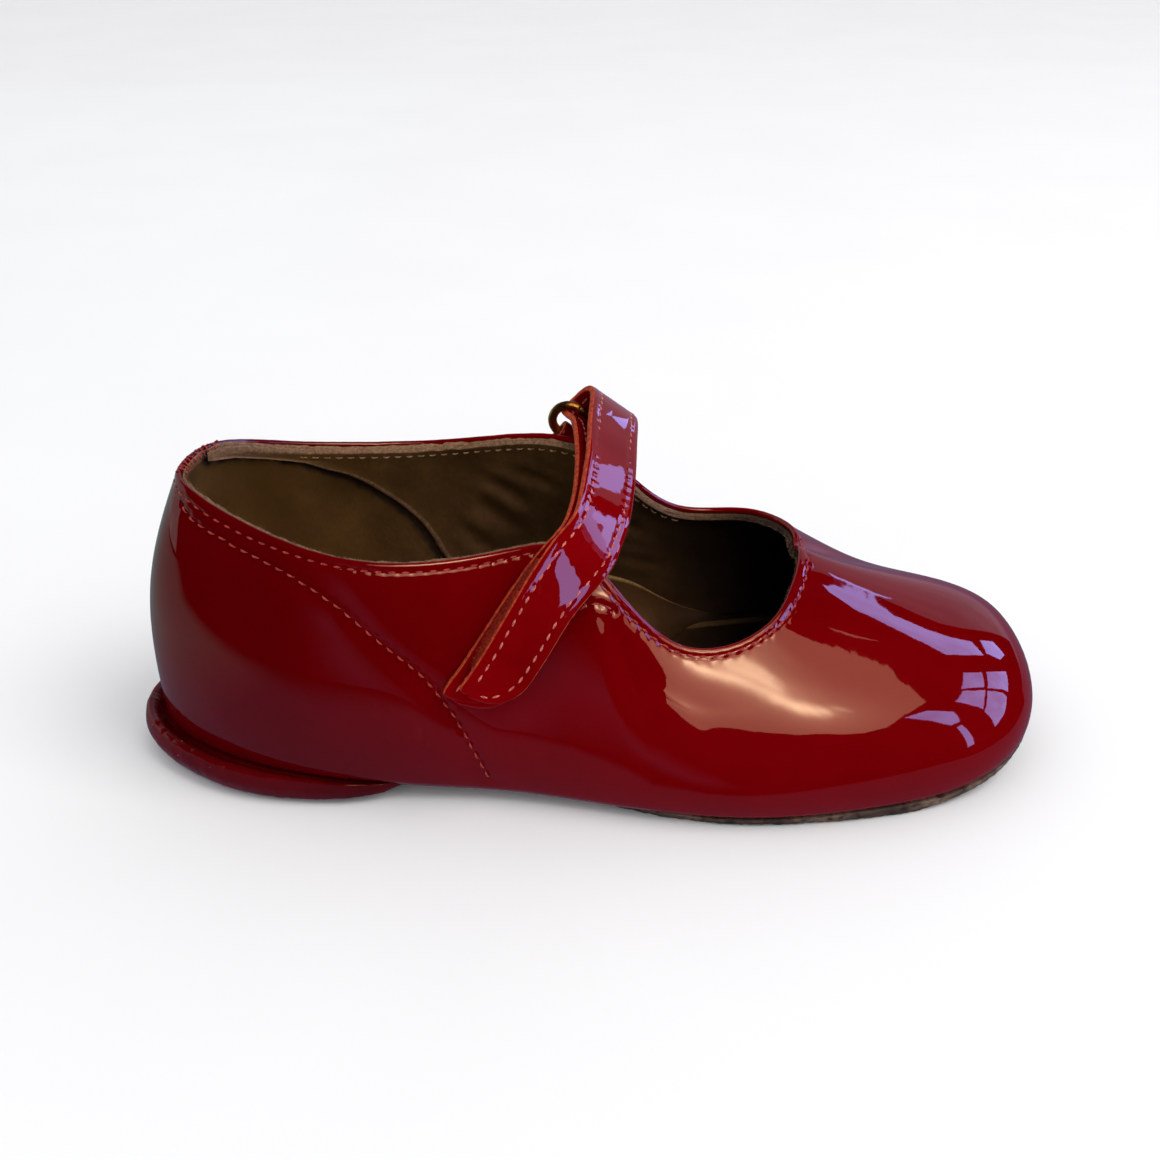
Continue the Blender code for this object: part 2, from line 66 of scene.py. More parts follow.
# One row per section round the shoe, from the heel back along the lateral
# side to the toe and back along the medial side.
# around: share of the way round, face: heading of the outward side (deg),
# fx fy: feather line, o1 h1: how far the wall runs out and up off the feather,
# o2 h2: how far the wall lies out and down from the top line, tx ty tz: top line
LAST = [
    ("heel_back", 0.000, -180.0,   4.6,  -1.2, 1.0, 21.5,  7.9, -17.5,  13.5,  -1.8, 53.1),
    ("L_heel1",   0.038, -141.0,   9.5, -11.9, 1.3, 20.6,  8.0, -15.8,  16.5,  -9.8, 52.4),
    ("L_heel2",   0.082, -107.9,  22.3, -20.5, 2.2, 17.6,  6.4, -13.9,  29.3, -17.4, 48.4),
    ("L_heel3",   0.142,  -94.8,  42.5, -24.3, 3.5, 14.1,  4.7, -11.1,  47.7, -21.5, 44.8),
    ("L_waist",   0.205,  -98.0,  65.0, -24.9, 4.4, 12.1,  4.0, -10.5,  66.0, -18.1, 44.6),
    ("L_instep",  0.274, -102.3,  87.0, -29.0, 4.6, 11.6,  5.1,  -8.7,  81.1, -18.2, 43.3),
    ("L_ball",    0.335,  -95.4, 108.2, -31.8, 4.9, 11.3,  6.5,  -7.2,  95.6, -22.0, 29.9),
    ("L_toe1",    0.385,  -78.8, 128.8, -30.0, 4.5, 12.5,  8.3,  -7.9, 109.1, -18.7, 30.6),
    ("L_toe2",    0.431,  -56.3, 147.7, -23.6, 3.9, 14.2, 12.5,  -9.3, 114.9, -10.4, 33.8),
    ("L_toe3",    0.470,  -29.5, 157.7, -11.2, 3.4, 16.0, 16.8,  -9.3, 116.8,  -4.0, 35.2),
    ("toe_tip",   0.508,    0.9, 158.9,   7.4, 3.1, 17.2, 18.5,  -9.4, 117.4,   0.7, 35.3),
    ("M_toe3",    0.543,   34.8, 154.7,  18.4, 3.4, 15.3, 15.0, -11.6, 117.4,   3.8, 34.4),
    ("M_toe2",    0.577,   63.9, 144.8,  24.6, 3.7, 11.9, 12.1,  -9.7, 117.4,   8.4, 35.1),
    ("M_toe1",    0.617,   83.5, 130.7,  28.5, 4.4, 11.6,  9.4,  -4.4, 110.4,  17.9, 34.1),
    ("M_ball",    0.665,   97.5, 112.4,  29.3, 4.8, 10.8,  7.3,  -5.3,  97.0,  19.3, 34.5),
    ("M_instep",  0.727,  102.1,  89.9,  25.0, 4.5, 11.4,  5.5,  -8.0,  83.2,  15.7, 47.3),
    ("M_waist",   0.798,   96.5,  64.3,  20.9, 4.5, 13.1,  4.0, -11.5,  65.9,  20.4, 48.3),
    ("M_heel3",   0.861,   91.4,  42.4,  20.6, 3.6, 15.0,  4.2, -12.5,  49.1,  21.7, 46.6),
    ("M_heel2",   0.920,  103.8,  22.3,  19.7, 2.5, 17.3,  5.3, -14.7,  27.9,  16.2, 49.2),
    ("M_heel1",   0.964,  139.6,   9.5,  11.7, 1.6, 20.0,  6.3, -16.9,  16.8,   7.7, 52.8),
]
# Height of the feather line (the underside of the upper) along the shoe
FEATHER = [  # x, z
    (5, 5.85), (25, 5.85), (45, 4.30), (65, 3.20), (88, 2.40), (110, 2.12),
    (130, 2.83), (147, 4.25), (157, 7.00), (164, 8.10)]
# Underside of the outsole: heel flat, arch, forefoot flat, toe spring
TREAD = [  # x, z
    (0, 0.0), (42, 0.0), (54, 0.75), (68, 1.05), (84, 0.55), (97, 0.0),
    (136, 0.0), (142, 0.75), (148, 1.95), (154, 3.45), (160, 5.2), (166, 6.8)]
# Top of the outsole where the wedge lies over it
OUTSOLE_TOP = [(0, 1.6), (38, 1.6), (45, 2.05), (51.5, 2.75), (58, 3.25), (65, 2.90)]
# How far the outsole edge stands in from the feather line
OUTSOLE_INSET = [(0, 1.7), (44, 1.7), (55, 2.3), (74, 2.4), (90, 0.9), (104, 0.2), (170, 0.1)]
# Rolled heel rim: share of the full roll, height of its underside, and how
# far its top stands above the wedge face, along x
RIM = [  # x, roll, z_under, top_lift
    (-5, 1.10, 0.80, 2.3), (2, 1.10, 0.80, 2.3), (10, 0.97, 0.60, 1.2), (20, 0.87, 0.50, 0.6),
    (28, 0.66, 0.60, 0.4), (36, 0.46, 0.90, 0.25), (44, 0.30, 1.60, 0.1), (51.5, 0.03, 3.15, 0.0)]
# How far the wedge edge stands in from the feather line past the rolled rim
WEDGE_INSET = [(0, 0.0), (40, 0.0), (46, 0.6), (51.5, 3.0)]

# Strap run, given in the strap's own plane: "a" climbs along the strap
# (0.6, 0, 0.8), "b" crosses it towards the toe (0.8, 0, -0.6).
# side "L": laid on the lateral wall at the height "out" off the leather,
# side "free": "out" is the y position in the air.
STRAP = [  # part, side, a, out, b_heel_edge, b_toe_edge
    ("base_end",   "L",    53.2,  0.9, 31.9, 35.0),
    ("base_end",   "L",    54.6,  0.9, 31.6, 38.4),
    ("base_sewn",  "L",    57.0,  0.9, 31.6, 40.6),
    ("base_sewn",  "L",    63.0,  0.9, 31.5, 41.2),
    ("base_sewn",  "L",    69.5,  0.9, 31.4, 41.0),
    ("base_sewn",  "L",    76.0,  0.9, 31.5, 41.0),
    ("base_sewn",  "L",    81.0,  0.9, 31.9, 41.3),
    ("base_over",  "L",    83.4,  1.0, 32.3, 41.6),
    ("base_free",  "free", 86.1, -12.9, 32.7, 42.1),
    ("base_free",  "free", 87.3,  -8.0, 32.8, 42.3),
    ("base_free",  "free", 88.5,  -2.5, 32.4, 42.0),
    ("base_free",  "free", 89.8,   5.0, 31.5, 41.2),
    ("base_free",  "free", 90.1,  12.0, 30.7, 40.4),
    ("base_free",  "free", 89.2,  17.0, 30.5, 40.1),
    ("in_ring",    "free", 88.0,  20.6, 30.6, 40.1),
    ("in_ring",    "free", 87.8,  23.1, 30.6, 40.1),
    ("fold",       "free", 89.4,  24.7, 30.7, 40.3),
    ("fold",       "free", 91.6,  24.5, 31.0, 40.6),
    ("fold",       "free", 93.7,  22.4, 31.2, 40.8),
    ("fold",       "free", 94.7,  18.9, 31.2, 40.9),
    ("top_free",   "free", 94.5,  12.5, 31.1, 40.9),
    ("top_free",   "free", 93.3,   6.0, 31.5, 41.3),
    ("top_free",   "free", 91.7,   0.0, 32.2, 41.9),
    ("top_free",   "free", 90.3,  -6.0, 32.6, 42.3),
    ("top_free",   "free", 88.9, -11.6, 32.9, 42.4),
    ("top_free",   "free", 87.1, -16.3, 32.8, 42.2),
    ("top_over",   "L",    83.7,  2.8, 32.7, 42.0),
    ("top_laid",   "L",    79.5,  3.9, 32.6, 41.7),
    ("top_laid",   "L",    76.0,  3.9, 32.6, 41.6),
    ("top_laid",   "L",    70.5,  3.9, 32.7, 42.0),
    ("top_laid",   "L",    65.5,  3.9, 32.8, 42.2),
    ("top_end",    "L",    62.0,  3.9, 32.9, 42.0),
    ("top_end",    "L",    59.6,  3.9, 32.9, 41.0),
    ("top_end",    "L",    57.9,  3.9, 32.9, 39.6),
    ("top_end",    "L",    56.7,  3.9, 32.9, 37.6),
    ("top_end",    "L",    56.1,  3.9, 33.2, 35.4),
]
TAPE = [  # part, side, a, out, b_heel_edge, b_toe_edge
    ("tape", "L", 59.6, 2.4, 33.2, 39.6),
    ("tape", "L", 64.0, 2.4, 32.5, 40.7),
    ("tape", "L", 70.0, 2.4, 32.3, 40.6),
    ("tape", "L", 75.0, 2.4, 32.2, 40.4),
    ("tape", "L", 79.0, 2.4, 32.3, 40.4),
]
BAR_LOW = (84.1, 21.4)    # a, y of the lower bar of the ring
BAR_HIGH = (90.1, 20.6)   # a, y of the upper bar of the ring
RING_B = (31.8, 40.0)     # b of the centres of the two rounded ends
TAB_LOOP = WIRE_R + 0.35 + STRAP_T / 2
TAB = [  # side "M": laid on the medial wall
    ("sewn_in",  "M",    67.5, 0.9, 31.2, 40.6),
    ("sewn_in",  "M",    73.0, 0.9, 31.4, 40.4),
    ("sewn_in",  "M",    78.5, 0.9, 31.7, 40.1),
    ("loop",     "free", 82.3, BAR_LOW[1] - TAB_LOOP + 0.15, 31.7, 40.1),
    ("loop",     "free", 84.1, BAR_LOW[1] - TAB_LOOP, 31.7, 40.1),
    ("loop",     "free", 85.4, BAR_LOW[1] - TAB_LOOP * 0.7, 31.7, 40.1),
    ("loop",     "free", 84.1 + TAB_LOOP, BAR_LOW[1], 31.7, 40.1),
    ("loop",     "free", 85.4, BAR_LOW[1] + TAB_LOOP * 0.7, 31.7, 40.1),
    ("loop",     "free", 84.1, BAR_LOW[1] + TAB_LOOP, 31.7, 40.1),
    ("loop",     "free", 82.2, BAR_LOW[1] + TAB_LOOP + 0.1, 31.7, 40.1),
    ("sewn_out", "M",    77.5, 2.6, 31.6, 40.2),
    ("sewn_out", "M",    72.5, 2.5, 31.3, 40.5),
    ("sewn_out", "M",    67.9, 2.5, 31.2, 40.6),
]


def spline(xs, ys, x):
    """Natural cubic through the knots, straight beyond the ends."""
    xs = np.asarray(xs, float); ys = np.asarray(ys, float)
    if ys.ndim == 1:
        return spline(xs, ys[:, None], x)[..., 0]
    x = np.asarray(x, float)
    n = len(xs); h = np.diff(xs)
    A = np.eye(n); B = np.zeros((n, ys.shape[1]))
    for i in range(1, n - 1):
        A[i, i - 1] = h[i - 1]; A[i, i] = 2 * (h[i - 1] + h[i]); A[i, i + 1] = h[i]
        B[i] = 6 * ((ys[i + 1] - ys[i]) / h[i] - (ys[i] - ys[i - 1]) / h[i - 1])
    m = np.linalg.solve(A, B)
    xc = np.clip(x, xs[0], xs[-1])
    i = np.clip(np.searchsorted(xs, xc, side="right") - 1, 0, n - 2)
    hh = h[i][..., None]
    b = (xc - xs[i])[..., None] / hh; a = 1 - b
    out = a * ys[i] + b * ys[i + 1] + ((a**3 - a) * m[i] + (b**3 - b) * m[i + 1]) * hh * hh / 6
    s0 = (ys[1] - ys[0]) / h[0] - h[0] / 6 * m[1]
    s1 = (ys[-1] - ys[-2]) / h[-1] + h[-1] / 6 * m[-2]
    out = out + np.minimum(x - xs[0], 0)[..., None] * s0 + np.maximum(x - xs[-1], 0)[..., None] * s1
    return out


def ring_spline(us, ys, u):
    """Closed cubic through values given at shares of the way round."""
    us = np.asarray(us, float); ys = np.asarray(ys, float)
    k = 4
    xs = np.concatenate([us[-k:] - 1, us, us[:k] + 1])
    vs = np.concatenate([ys[-k:], ys, ys[:k]])
    return spline(xs, vs, np.asarray(u, float) % 1.0)


def lin(table, x, col=1):
    t = np.array(table, float)
    return np.interp(x, t[:, 0], t[:, col])


def feather_z(x):
    return spline([r[0] for r in FEATHER], [r[1] for r in FEATHER], x)


ROUND = [r[1] for r in LAST]
NUM = np.array([r[2:] for r in LAST], float)
FACE = np.stack([np.cos(np.radians(NUM[:, 0])), np.sin(np.radians(NUM[:, 0])), 0 * NUM[:, 0]], 1)
UPZ = np.array([0, 0, 1.0])


def last_controls():
    f = np.stack([NUM[:, 1], NUM[:, 2], feather_z(NUM[:, 1])], 1)
    t = NUM[:, 7:10]
    p1 = f + FACE * NUM[:, 3:4] + UPZ * NUM[:, 4:5]
    p2 = t + FACE * NUM[:, 5:6] + UPZ * NUM[:, 6:7]
    return f, p1, p2, t


CONTROLS = [np.asarray(c) for c in last_controls()]


def wall(u, t):
    """Outside of the upper: u goes round the shoe, t up from feather to top line."""
    u = np.atleast_1d(u); t = np.atleast_1d(t)[None, :, None]
    f, p1, p2, q = [ring_spline(ROUND, c, u)[:, None, :] for c in CONTROLS]
    return (1 - t)**3 * f + 3 * (1 - t)**2 * t * p1 + 3 * (1 - t) * t * t * p2 + t**3 * q


def wall_normal(u, t):
    e = 1e-3
    u = np.atleast_1d(u); t = np.atleast_1d(t)
    du = wall(u + e, t) - wall(u - e, t)
    dt = wall(u, t + e) - wall(u, t - e)
    n = np.cross(du, dt)
    return n / np.linalg.norm(n, axis=2)[..., None]


def outline(u):
    """Feather line in plan and its outward heading."""
    p = ring_spline(ROUND, CONTROLS[0], u)[:, :2]
    h = ring_spline(ROUND, CONTROLS[0], u + 1e-3)[:, :2] - ring_spline(ROUND, CONTROLS[0], u - 1e-3)[:, :2]
    h = np.stack([h[:, 1], -h[:, 0]], 1)
    return p, h / np.linalg.norm(h, axis=1)[:, None]


ug = np.arange(241) / 240
tg = np.linspace(0.0, 1.18, 60)
grid = wall(ug[:-1], tg)
gn = wall_normal(ug[:-1], tg)


def guide(lateral):
    """Search tree of one side of the wall, run on a little above the top line."""
    keep = [i for i in range(240) if (ug[i] < 0.5) == lateral]
    verts = [Vector(grid[i, j]) for i in keep for j in range(60)]
    nt = 60
    faces = []
    for a in range(len(keep) - 1):
        for j in range(nt - 1):
            faces.append((a * nt + j, a * nt + j + 1, (a + 1) * nt + j + 1, (a + 1) * nt + j))
    return BVHTree.FromPolygons(verts, faces), 1.0 if not lateral else -1.0




def on_wall(where, x, z, off):
    tree, s = GUIDES[where]
    hit, n, _, _ = tree.ray_cast(Vector((x, s * 90, z)), Vector((0, -s, 0)))
    n = np.array(n)
    if n[1] * s < 0:
        n = -n
    return np.array(hit) + n * off


def ribbon_points(table, n_across):
    """Edge-to-edge points of every row of a strap table."""
    rows = []
    for _, where, a, out, b0, b1 in table:
        r = []
        for q in np.linspace(0, 1, n_across):
            b = b0 + (b1 - b0) * q
            x, z = 0.6 * a + 0.8 * b, 0.8 * a - 0.6 * b
            r.append([x, out, z] if where == "free" else on_wall(where, x, z, out))
        rows.append(r)
    return np.array(rows, float)


# ------------------------------------------------------------------ noise
def hash3(i, j, k, seed):
    n = (i * 73856093) ^ (j * 19349663) ^ (k * 83492791) ^ (seed * 668265263 + 374761393)
    n = n & 0x7fffffff
    n = ((n ^ (n >> 13)) * 1274126177) & 0x7fffffff
    n = ((n ^ (n >> 15)) * 2246822519) & 0x7fffffff
    return (n % 100003) / 100003.0


def vnoise(P, scale, seed=0):
    """Smooth noise from -1 to 1 at points in mm; scale is the size of its grains."""
    Q = np.asarray(P, float) / scale + 512.37
    i = np.floor(Q).astype(np.int64)
    f = Q - i
    f = f * f * f * (f * (f * 6 - 15) + 10)
    out = 0
    for dx in (0, 1):
        wx = f[..., 0] if dx else 1 - f[..., 0]
        for dy in (0, 1):
            wy = f[..., 1] if dy else 1 - f[..., 1]
            for dz in (0, 1):
                wz = f[..., 2] if dz else 1 - f[..., 2]
                out = out + wx * wy * wz * hash3(i[..., 0] + dx, i[..., 1] + dy, i[..., 2] + dz, seed)
    return out * 2 - 1


def fbm(P, scale, octaves=3, seed=0, gain=0.5):
    out, amp, tot = 0, 1.0, 0.0
    for o in range(octaves):
        out = out + amp * vnoise(P, scale / 2 ** o, seed + 17 * o)
        tot += amp
        amp *= gain
    return out / tot


def pebbles(P, scale, seed=0):
    """Distance to the nearest scattered point, in grain sizes."""
    Q = np.asarray(P, float).reshape(-1, 3) / scale + 256.11
    i = np.floor(Q).astype(np.int64)
    best = np.full(len(Q), 9.0)
    for dx in (-1, 0, 1):
        for dy in (-1, 0, 1):
            for dz in (-1, 0, 1):
                a, b, c = i[:, 0] + dx, i[:, 1] + dy, i[:, 2] + dz
                px = a + hash3(a, b, c, seed + 1)
                py = b + hash3(a, b, c, seed + 2)
                pz = c + hash3(a, b, c, seed + 3)
                d = (px - Q[:, 0]) ** 2 + (py - Q[:, 1]) ** 2 + (pz - Q[:, 2]) ** 2
                best = np.minimum(best, d)
    return np.sqrt(best).reshape(np.asarray(P).shape[:-1])


def bell(x, w):
    return np.exp(-(np.asarray(x) / w) ** 2)


def ease(x, a, b):
    """Smooth step from 0 at a to 1 at b."""
    t = np.clip((np.asarray(x, float) - a) / (b - a), 0, 1)
    return t * t * (3 - 2 * t)


def unit(v):
    v = np.asarray(v, float)
    return v / np.maximum(np.linalg.norm(v, axis=-1), 1e-12)[..., None]


# ------------------------------------------------------------------ meshes
def row_frame(P):
    return (np.asarray(P, float).reshape(-1, 3) - (ORIGIN_X, ORIGIN_Y, 0.0)) * MM


def new_piece(name, P, quads, tris=None, mats=(), quad_mat=None, tri_mat=None, marks=None, smooth=True, flip=True):
    """A mesh from points in mm. marks are named numbers per point, for the materials."""
    V = row_frame(P).astype(np.float32)
    quads = np.asarray(quads, np.int64).reshape(-1, 4)
    tris = np.zeros((0, 3), np.int64) if tris is None else np.asarray(tris, np.int64).reshape(-1, 3)
    if flip:
        T = np.concatenate([quads[:, [0, 1, 2]], quads[:, [0, 2, 3]], tris])
        W = V.astype(float) - V.mean(0)
        vol = np.einsum("ij,ij->i", W[T[:, 0]], np.cross(W[T[:, 1]], W[T[:, 2]])).sum()
        if vol < 0:
            quads, tris = quads[:, ::-1], tris[:, ::-1]
    me = bpy.data.meshes.new(name)
    nq, nt = len(quads), len(tris)
    me.vertices.add(len(V))
    me.vertices.foreach_set("co", V.ravel())
    me.loops.add(nq * 4 + nt * 3)
    me.loops.foreach_set("vertex_index", np.concatenate([quads.ravel(), tris.ravel()]).astype(np.int32))
    me.polygons.add(nq + nt)
    start = np.concatenate([np.arange(nq) * 4, nq * 4 + np.arange(nt) * 3]).astype(np.int32)
    me.polygons.foreach_set("loop_start", start)
    try:
        me.polygons.foreach_set("loop_total", np.concatenate([np.full(nq, 4), np.full(nt, 3)]).astype(np.int32))
    except (AttributeError, TypeError, RuntimeError):
        pass
    for m in mats:
        me.materials.append(m)
    if quad_mat is not None or tri_mat is not None:
        qm = np.zeros(nq, np.int32) if quad_mat is None else np.asarray(quad_mat, np.int32).ravel()
        tm = np.zeros(nt, np.int32) if tri_mat is None else np.asarray(tri_mat, np.int32).ravel()
        me.polygons.foreach_set("material_index", np.concatenate([qm, tm]))
    me.polygons.foreach_set("use_smooth", np.full(nq + nt, bool(smooth)))
    for key, values in (marks or {}).items():
        at = me.attributes.new(key, "FLOAT", "POINT")
        at.data.foreach_set("value", np.asarray(values, np.float32).ravel())
    me.update(calc_edges=True)
    me.validate()
    ob = bpy.data.objects.new(name, me)
    bpy.context.scene.collection.objects.link(ob)
    return ob


def grid_quads(nr, nc, ring_r=False, ring_c=False, base=0):
    r = np.arange(nr if ring_r else nr - 1)
    c = np.arange(nc if ring_c else nc - 1)
    R, C = np.meshgrid(r, c, indexing="ij")
    a, b = R * nc + C, R * nc + (C + 1) % nc
    d, e = ((R + 1) % nr) * nc + C, ((R + 1) % nr) * nc + (C + 1) % nc
    return np.stack([a, b, e, d], -1).reshape(-1, 4) + base


def loft(name, S, mats=(), face_mat=None, marks=None, caps=True, ring_r=False, smooth=True):
    """Closed sections S (sections x points x 3) joined in order; flat ends are capped.
    A section runs up one face and back down the other, so point i faces point n-1-i."""
    S = np.asarray(S, float)
    nr, nc = S.shape[:2]
    q = grid_quads(nr, nc, ring_r=ring_r, ring_c=True)
    fm = None
    if face_mat is not None:
        fm = np.asarray(face_mat).reshape(-1)
    if caps and not ring_r:
        h = nc // 2
        i = np.arange(h - 1)
        first = np.stack([i, nc - 1 - i, nc - 2 - i, i + 1], -1)
        last = first[:, ::-1] + (nr - 1) * nc
        q = np.concatenate([q, first, last])
        if fm is not None:
            fm = np.concatenate([fm, np.full(2 * (h - 1), CAP_MAT)])
    return new_piece(name, S.reshape(-1, 3), q, mats=mats, quad_mat=fm, marks=marks, smooth=smooth)


CAP_MAT = 1


def finish_piece(ob, slot, *nodes):
    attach(ob, "root")
    if nodes:
        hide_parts(*nodes)
    return ob


# ------------------------------------------------------------------ materials
class Paint:
    """Small builder for a node material around one Principled shader."""

    def __init__(self, name):
        self.mat = bpy.data.materials.new(name)
        self.mat.use_nodes = True
        self.nt = self.mat.node_tree
        self.bsdf = self.nt.nodes["Principled BSDF"]
        self.co = None

    def node(self, kind, **kw):
        n = self.nt.nodes.new(kind)
        for k, v in kw.items():
            setattr(n, k, v)
        return n

    def link(self, a, b):
        self.nt.links.new(a, b)

    def coords(self):
        if self.co is None:
            self.co = self.node("ShaderNodeTexCoord").outputs["Object"]
        return self.co

    def stretched(self, sx, sy, sz, rot=(0, 0, 0)):
        m = self.node("ShaderNodeMapping")
        m.inputs["Scale"].default_value = (sx, sy, sz)
        m.inputs["Rotation"].default_value = rot
        self.link(self.coords(), m.inputs["Vector"])
        return m.outputs["Vector"]

    def noise(self, size_mm, detail=3.0, rough=0.5, distort=0.0, vec=None):
        n = self.node("ShaderNodeTexNoise")
        n.inputs["Scale"].default_value = 1000.0 / size_mm
        n.inputs["Detail"].default_value = detail
        n.inputs["Roughness"].default_value = rough
        n.inputs["Distortion"].default_value = distort
        self.link(vec or self.coords(), n.inputs["Vector"])
        return n.outputs["Fac"]

    def cells(self, size_mm, feature="F1", vec=None, rand=1.0):
        n = self.node("ShaderNodeTexVoronoi", feature=feature)
        n.inputs["Scale"].default_value = 1000.0 / size_mm
        n.inputs["Randomness"].default_value = rand
        self.link(vec or self.coords(), n.inputs["Vector"])
        return n.outputs["Distance"]

    def ramp(self, fac, stops, interp="LINEAR"):
        r = self.node("ShaderNodeValToRGB")
        cr = r.color_ramp
        cr.interpolation = interp
        while len(cr.elements) < len(stops):
            cr.elements.new(0.5)
        for e, (p, c) in zip(cr.elements, stops):
            e.position = p
            e.color = (*c, 1) if not isinstance(c, (int, float)) else (c, c, c, 1)
        self.link(fac, r.inputs["Fac"])
        return r.outputs["Color"]

    def mark(self, key):
        n = self.node("ShaderNodeAttribute", attribute_name=key)
        return n.outputs["Fac"]

    def span(self, fac, a, b, c=0.0, d=1.0, clamp=True):
        n = self.node("ShaderNodeMapRange")
        n.clamp = clamp
        for k, v in zip(("From Min", "From Max", "To Min", "To Max"), (a, b, c, d)):
            n.inputs[k].default_value = v
        self.link(fac, n.inputs["Value"])
        return n.outputs["Result"]

    def calc(self, op, a, b=None, c=None):
        n = self.node("ShaderNodeMath", operation=op)
        for i, v in enumerate((a, b, c)):
            if v is None:
                continue
            if isinstance(v, (int, float)):
                n.inputs[i].default_value = v
            else:
                self.link(v, n.inputs[i])
        return n.outputs[0]

    def mix(self, fac, a, b, kind="MIX"):
        n = self.node("ShaderNodeMix", data_type="RGBA", blend_type=kind)
        for v, s in ((fac, n.inputs[0]), (a, n.inputs[6]), (b, n.inputs[7])):
            if isinstance(v, (int, float)):
                s.default_value = v
            elif isinstance(v, tuple):
                s.default_value = (*v, 1)
            else:
                self.link(v, s)
        return n.outputs[2]

    def bump(self, height, strength, dist_mm, after=None):
        n = self.node("ShaderNodeBump")
        n.inputs["Strength"].default_value = strength
        n.inputs["Distance"].default_value = dist_mm * MM
        self.link(height, n.inputs["Height"])
        if after is not None:
            self.link(after, n.inputs["Normal"])
        return n.outputs["Normal"]

    def set(self, **kw):
        for k, v in kw.items():
            s = self.bsdf.inputs[k.replace("_", " ")]
            if isinstance(v, (int, float)):
                s.default_value = v
            elif isinstance(v, tuple):
                s.default_value = (*v, 1) if len(v) == 3 and s.type == "RGBA" else v
            else:
                self.link(v, s)
        return self.mat


def srgb(r, g, b):
    f = lambda c: c / 255 / 12.92 if c <= 10 else ((c / 255 + 0.055) / 1.055) ** 2.4
    return (f(r), f(g), f(b))


def patent(name, deep, mid, light, coat=1.0, wave=0.16, dust=False, rough=0.42, low=None):
    """Glossy film over a soft red ground that varies in depth."""
    p = Paint(name)
    broad = p.noise(26, 2, 0.5)
    fine = p.noise(5.5, 3, 0.55)
    tone = p.calc("ADD", p.calc("MULTIPLY", broad, 0.72), p.calc("MULTIPLY", fine, 0.28))
    col = p.ramp(tone, [(0.30, deep), (0.50, mid), (0.72, light)])
    if low is not None:                      # painted reflection of the pale floor: a cooler, greyer tone low on the heel
        x = p.node("ShaderNodeSeparateXYZ")
        p.link(p.coords(), x.inputs[0])
        down = p.calc("MULTIPLY", p.span(x.outputs["Z"], 0.026, 0.006), p.span(x.outputs["X"], 0.010, -0.045))
        col = p.mix(p.calc("MULTIPLY", down, 0.75), col, low)
        # painted shade: the red goes darker towards the back of the heel
        col = p.mix(p.calc("MULTIPLY", p.span(x.outputs["X"], -0.012, -0.050), 0.50), col, srgb(48, 0, 1))
    # faint rubbed marks and specks in the film
    rub = p.noise(1.3, 4, 0.7, vec=p.stretched(1, 1, 0.25, (0.3, 0.2, 0.9)))
    rub = p.span(rub, 0.62, 0.82)
    patch = p.span(p.noise(19, 2), 0.55, 0.75)
    rub = p.calc("MULTIPLY", rub, patch)
    col = p.mix(p.calc("MULTIPLY", rub, 0.20), col, srgb(190, 70, 75))
    if dust:
        speck = p.span(p.cells(1.5), 0.10, 0.05)
        some = p.span(p.noise(4.0, 2), 0.52, 0.60)
        speck = p.calc("MULTIPLY", speck, some)
        col = p.mix(p.calc("MULTIPLY", speck, 0.85), col, srgb(205, 150, 140))
    ripple = p.noise(6.5, 2, 0.45)
    grain = p.noise(1.6, 2, 0.5)
    n1 = p.bump(ripple, wave, 0.16)
    n2 = p.bump(grain, 0.12, 0.02, n1)
    return p.set(Base_Color=col, Roughness=rough, Specular_IOR_Level=0.0, Coat_Weight=coat, Coat_Roughness=0.03,
                 Coat_IOR=1.46, Normal=n2, Coat_Normal=n2)


def leather(name, dark, mid, light, size=9.0, bumpy=0.35, rough=0.62, grain=0.7, edge=None, shade=False):
    p = Paint(name)
    broad = p.noise(size, 3, 0.55)
    tone = p.calc("ADD", p.calc("MULTIPLY", broad, 0.7), p.calc("MULTIPLY", p.noise(1.2, 3, 0.6), 0.3))
    col = p.ramp(tone, [(0.30, dark), (0.50, mid), (0.74, light)])
    x = p.node("ShaderNodeSeparateXYZ")
    p.link(p.coords(), x.inputs[0])
    deep = p.span(x.outputs["X"], -0.002, 0.034)            # painted shade: dark towards the toe, deep inside the shoe
    heel_light = p.span(x.outputs["X"], -0.020, -0.056)          # painted light: paler towards the heel
    col = p.mix(p.calc("MULTIPLY", heel_light, 0.55), col, light)
    dusk_ = p.span(x.outputs["X"], -0.052, -0.028)         # the sides fall into shade past the heel piece
    col = p.mix(p.calc("MULTIPLY", dusk_, 0.34), col, dark)
    col = p.mix(p.calc("MULTIPLY", deep, 0.93), col, srgb(3, 2, 1))
    if edge is not None:
        raw = p.mark("raw")
        fuzz = p.ramp(p.noise(0.5, 3, 0.7), [(0.3, edge[0]), (0.7, edge[1])])
        col = p.mix(p.span(raw, 0.25, 0.8), col, fuzz)
        # painted shade: the raw edges also go dark towards the toe, deep inside the shoe
        col = p.mix(p.calc("MULTIPLY", p.span(x.outputs["X"], 0.014, 0.036), 0.90), col, srgb(5, 3, 2))
    # painted shadow along the raw edge of the quarter lining, from the shade mark
    if shade:
        col = p.mix(p.mark("shade"), col, srgb(9, 5, 2))
    pores = p.cells(grain)
    n1 = p.bump(p.noise(3.2, 3, 0.5), bumpy, 0.25)
    n2 = p.bump(pores, 0.35, 0.06, n1)
    return p.set(Base_Color=col, Roughness=p.span(broad, 0.3, 0.7, rough - 0.08, rough + 0.10), Specular_IOR_Level=0.35, Normal=n2)


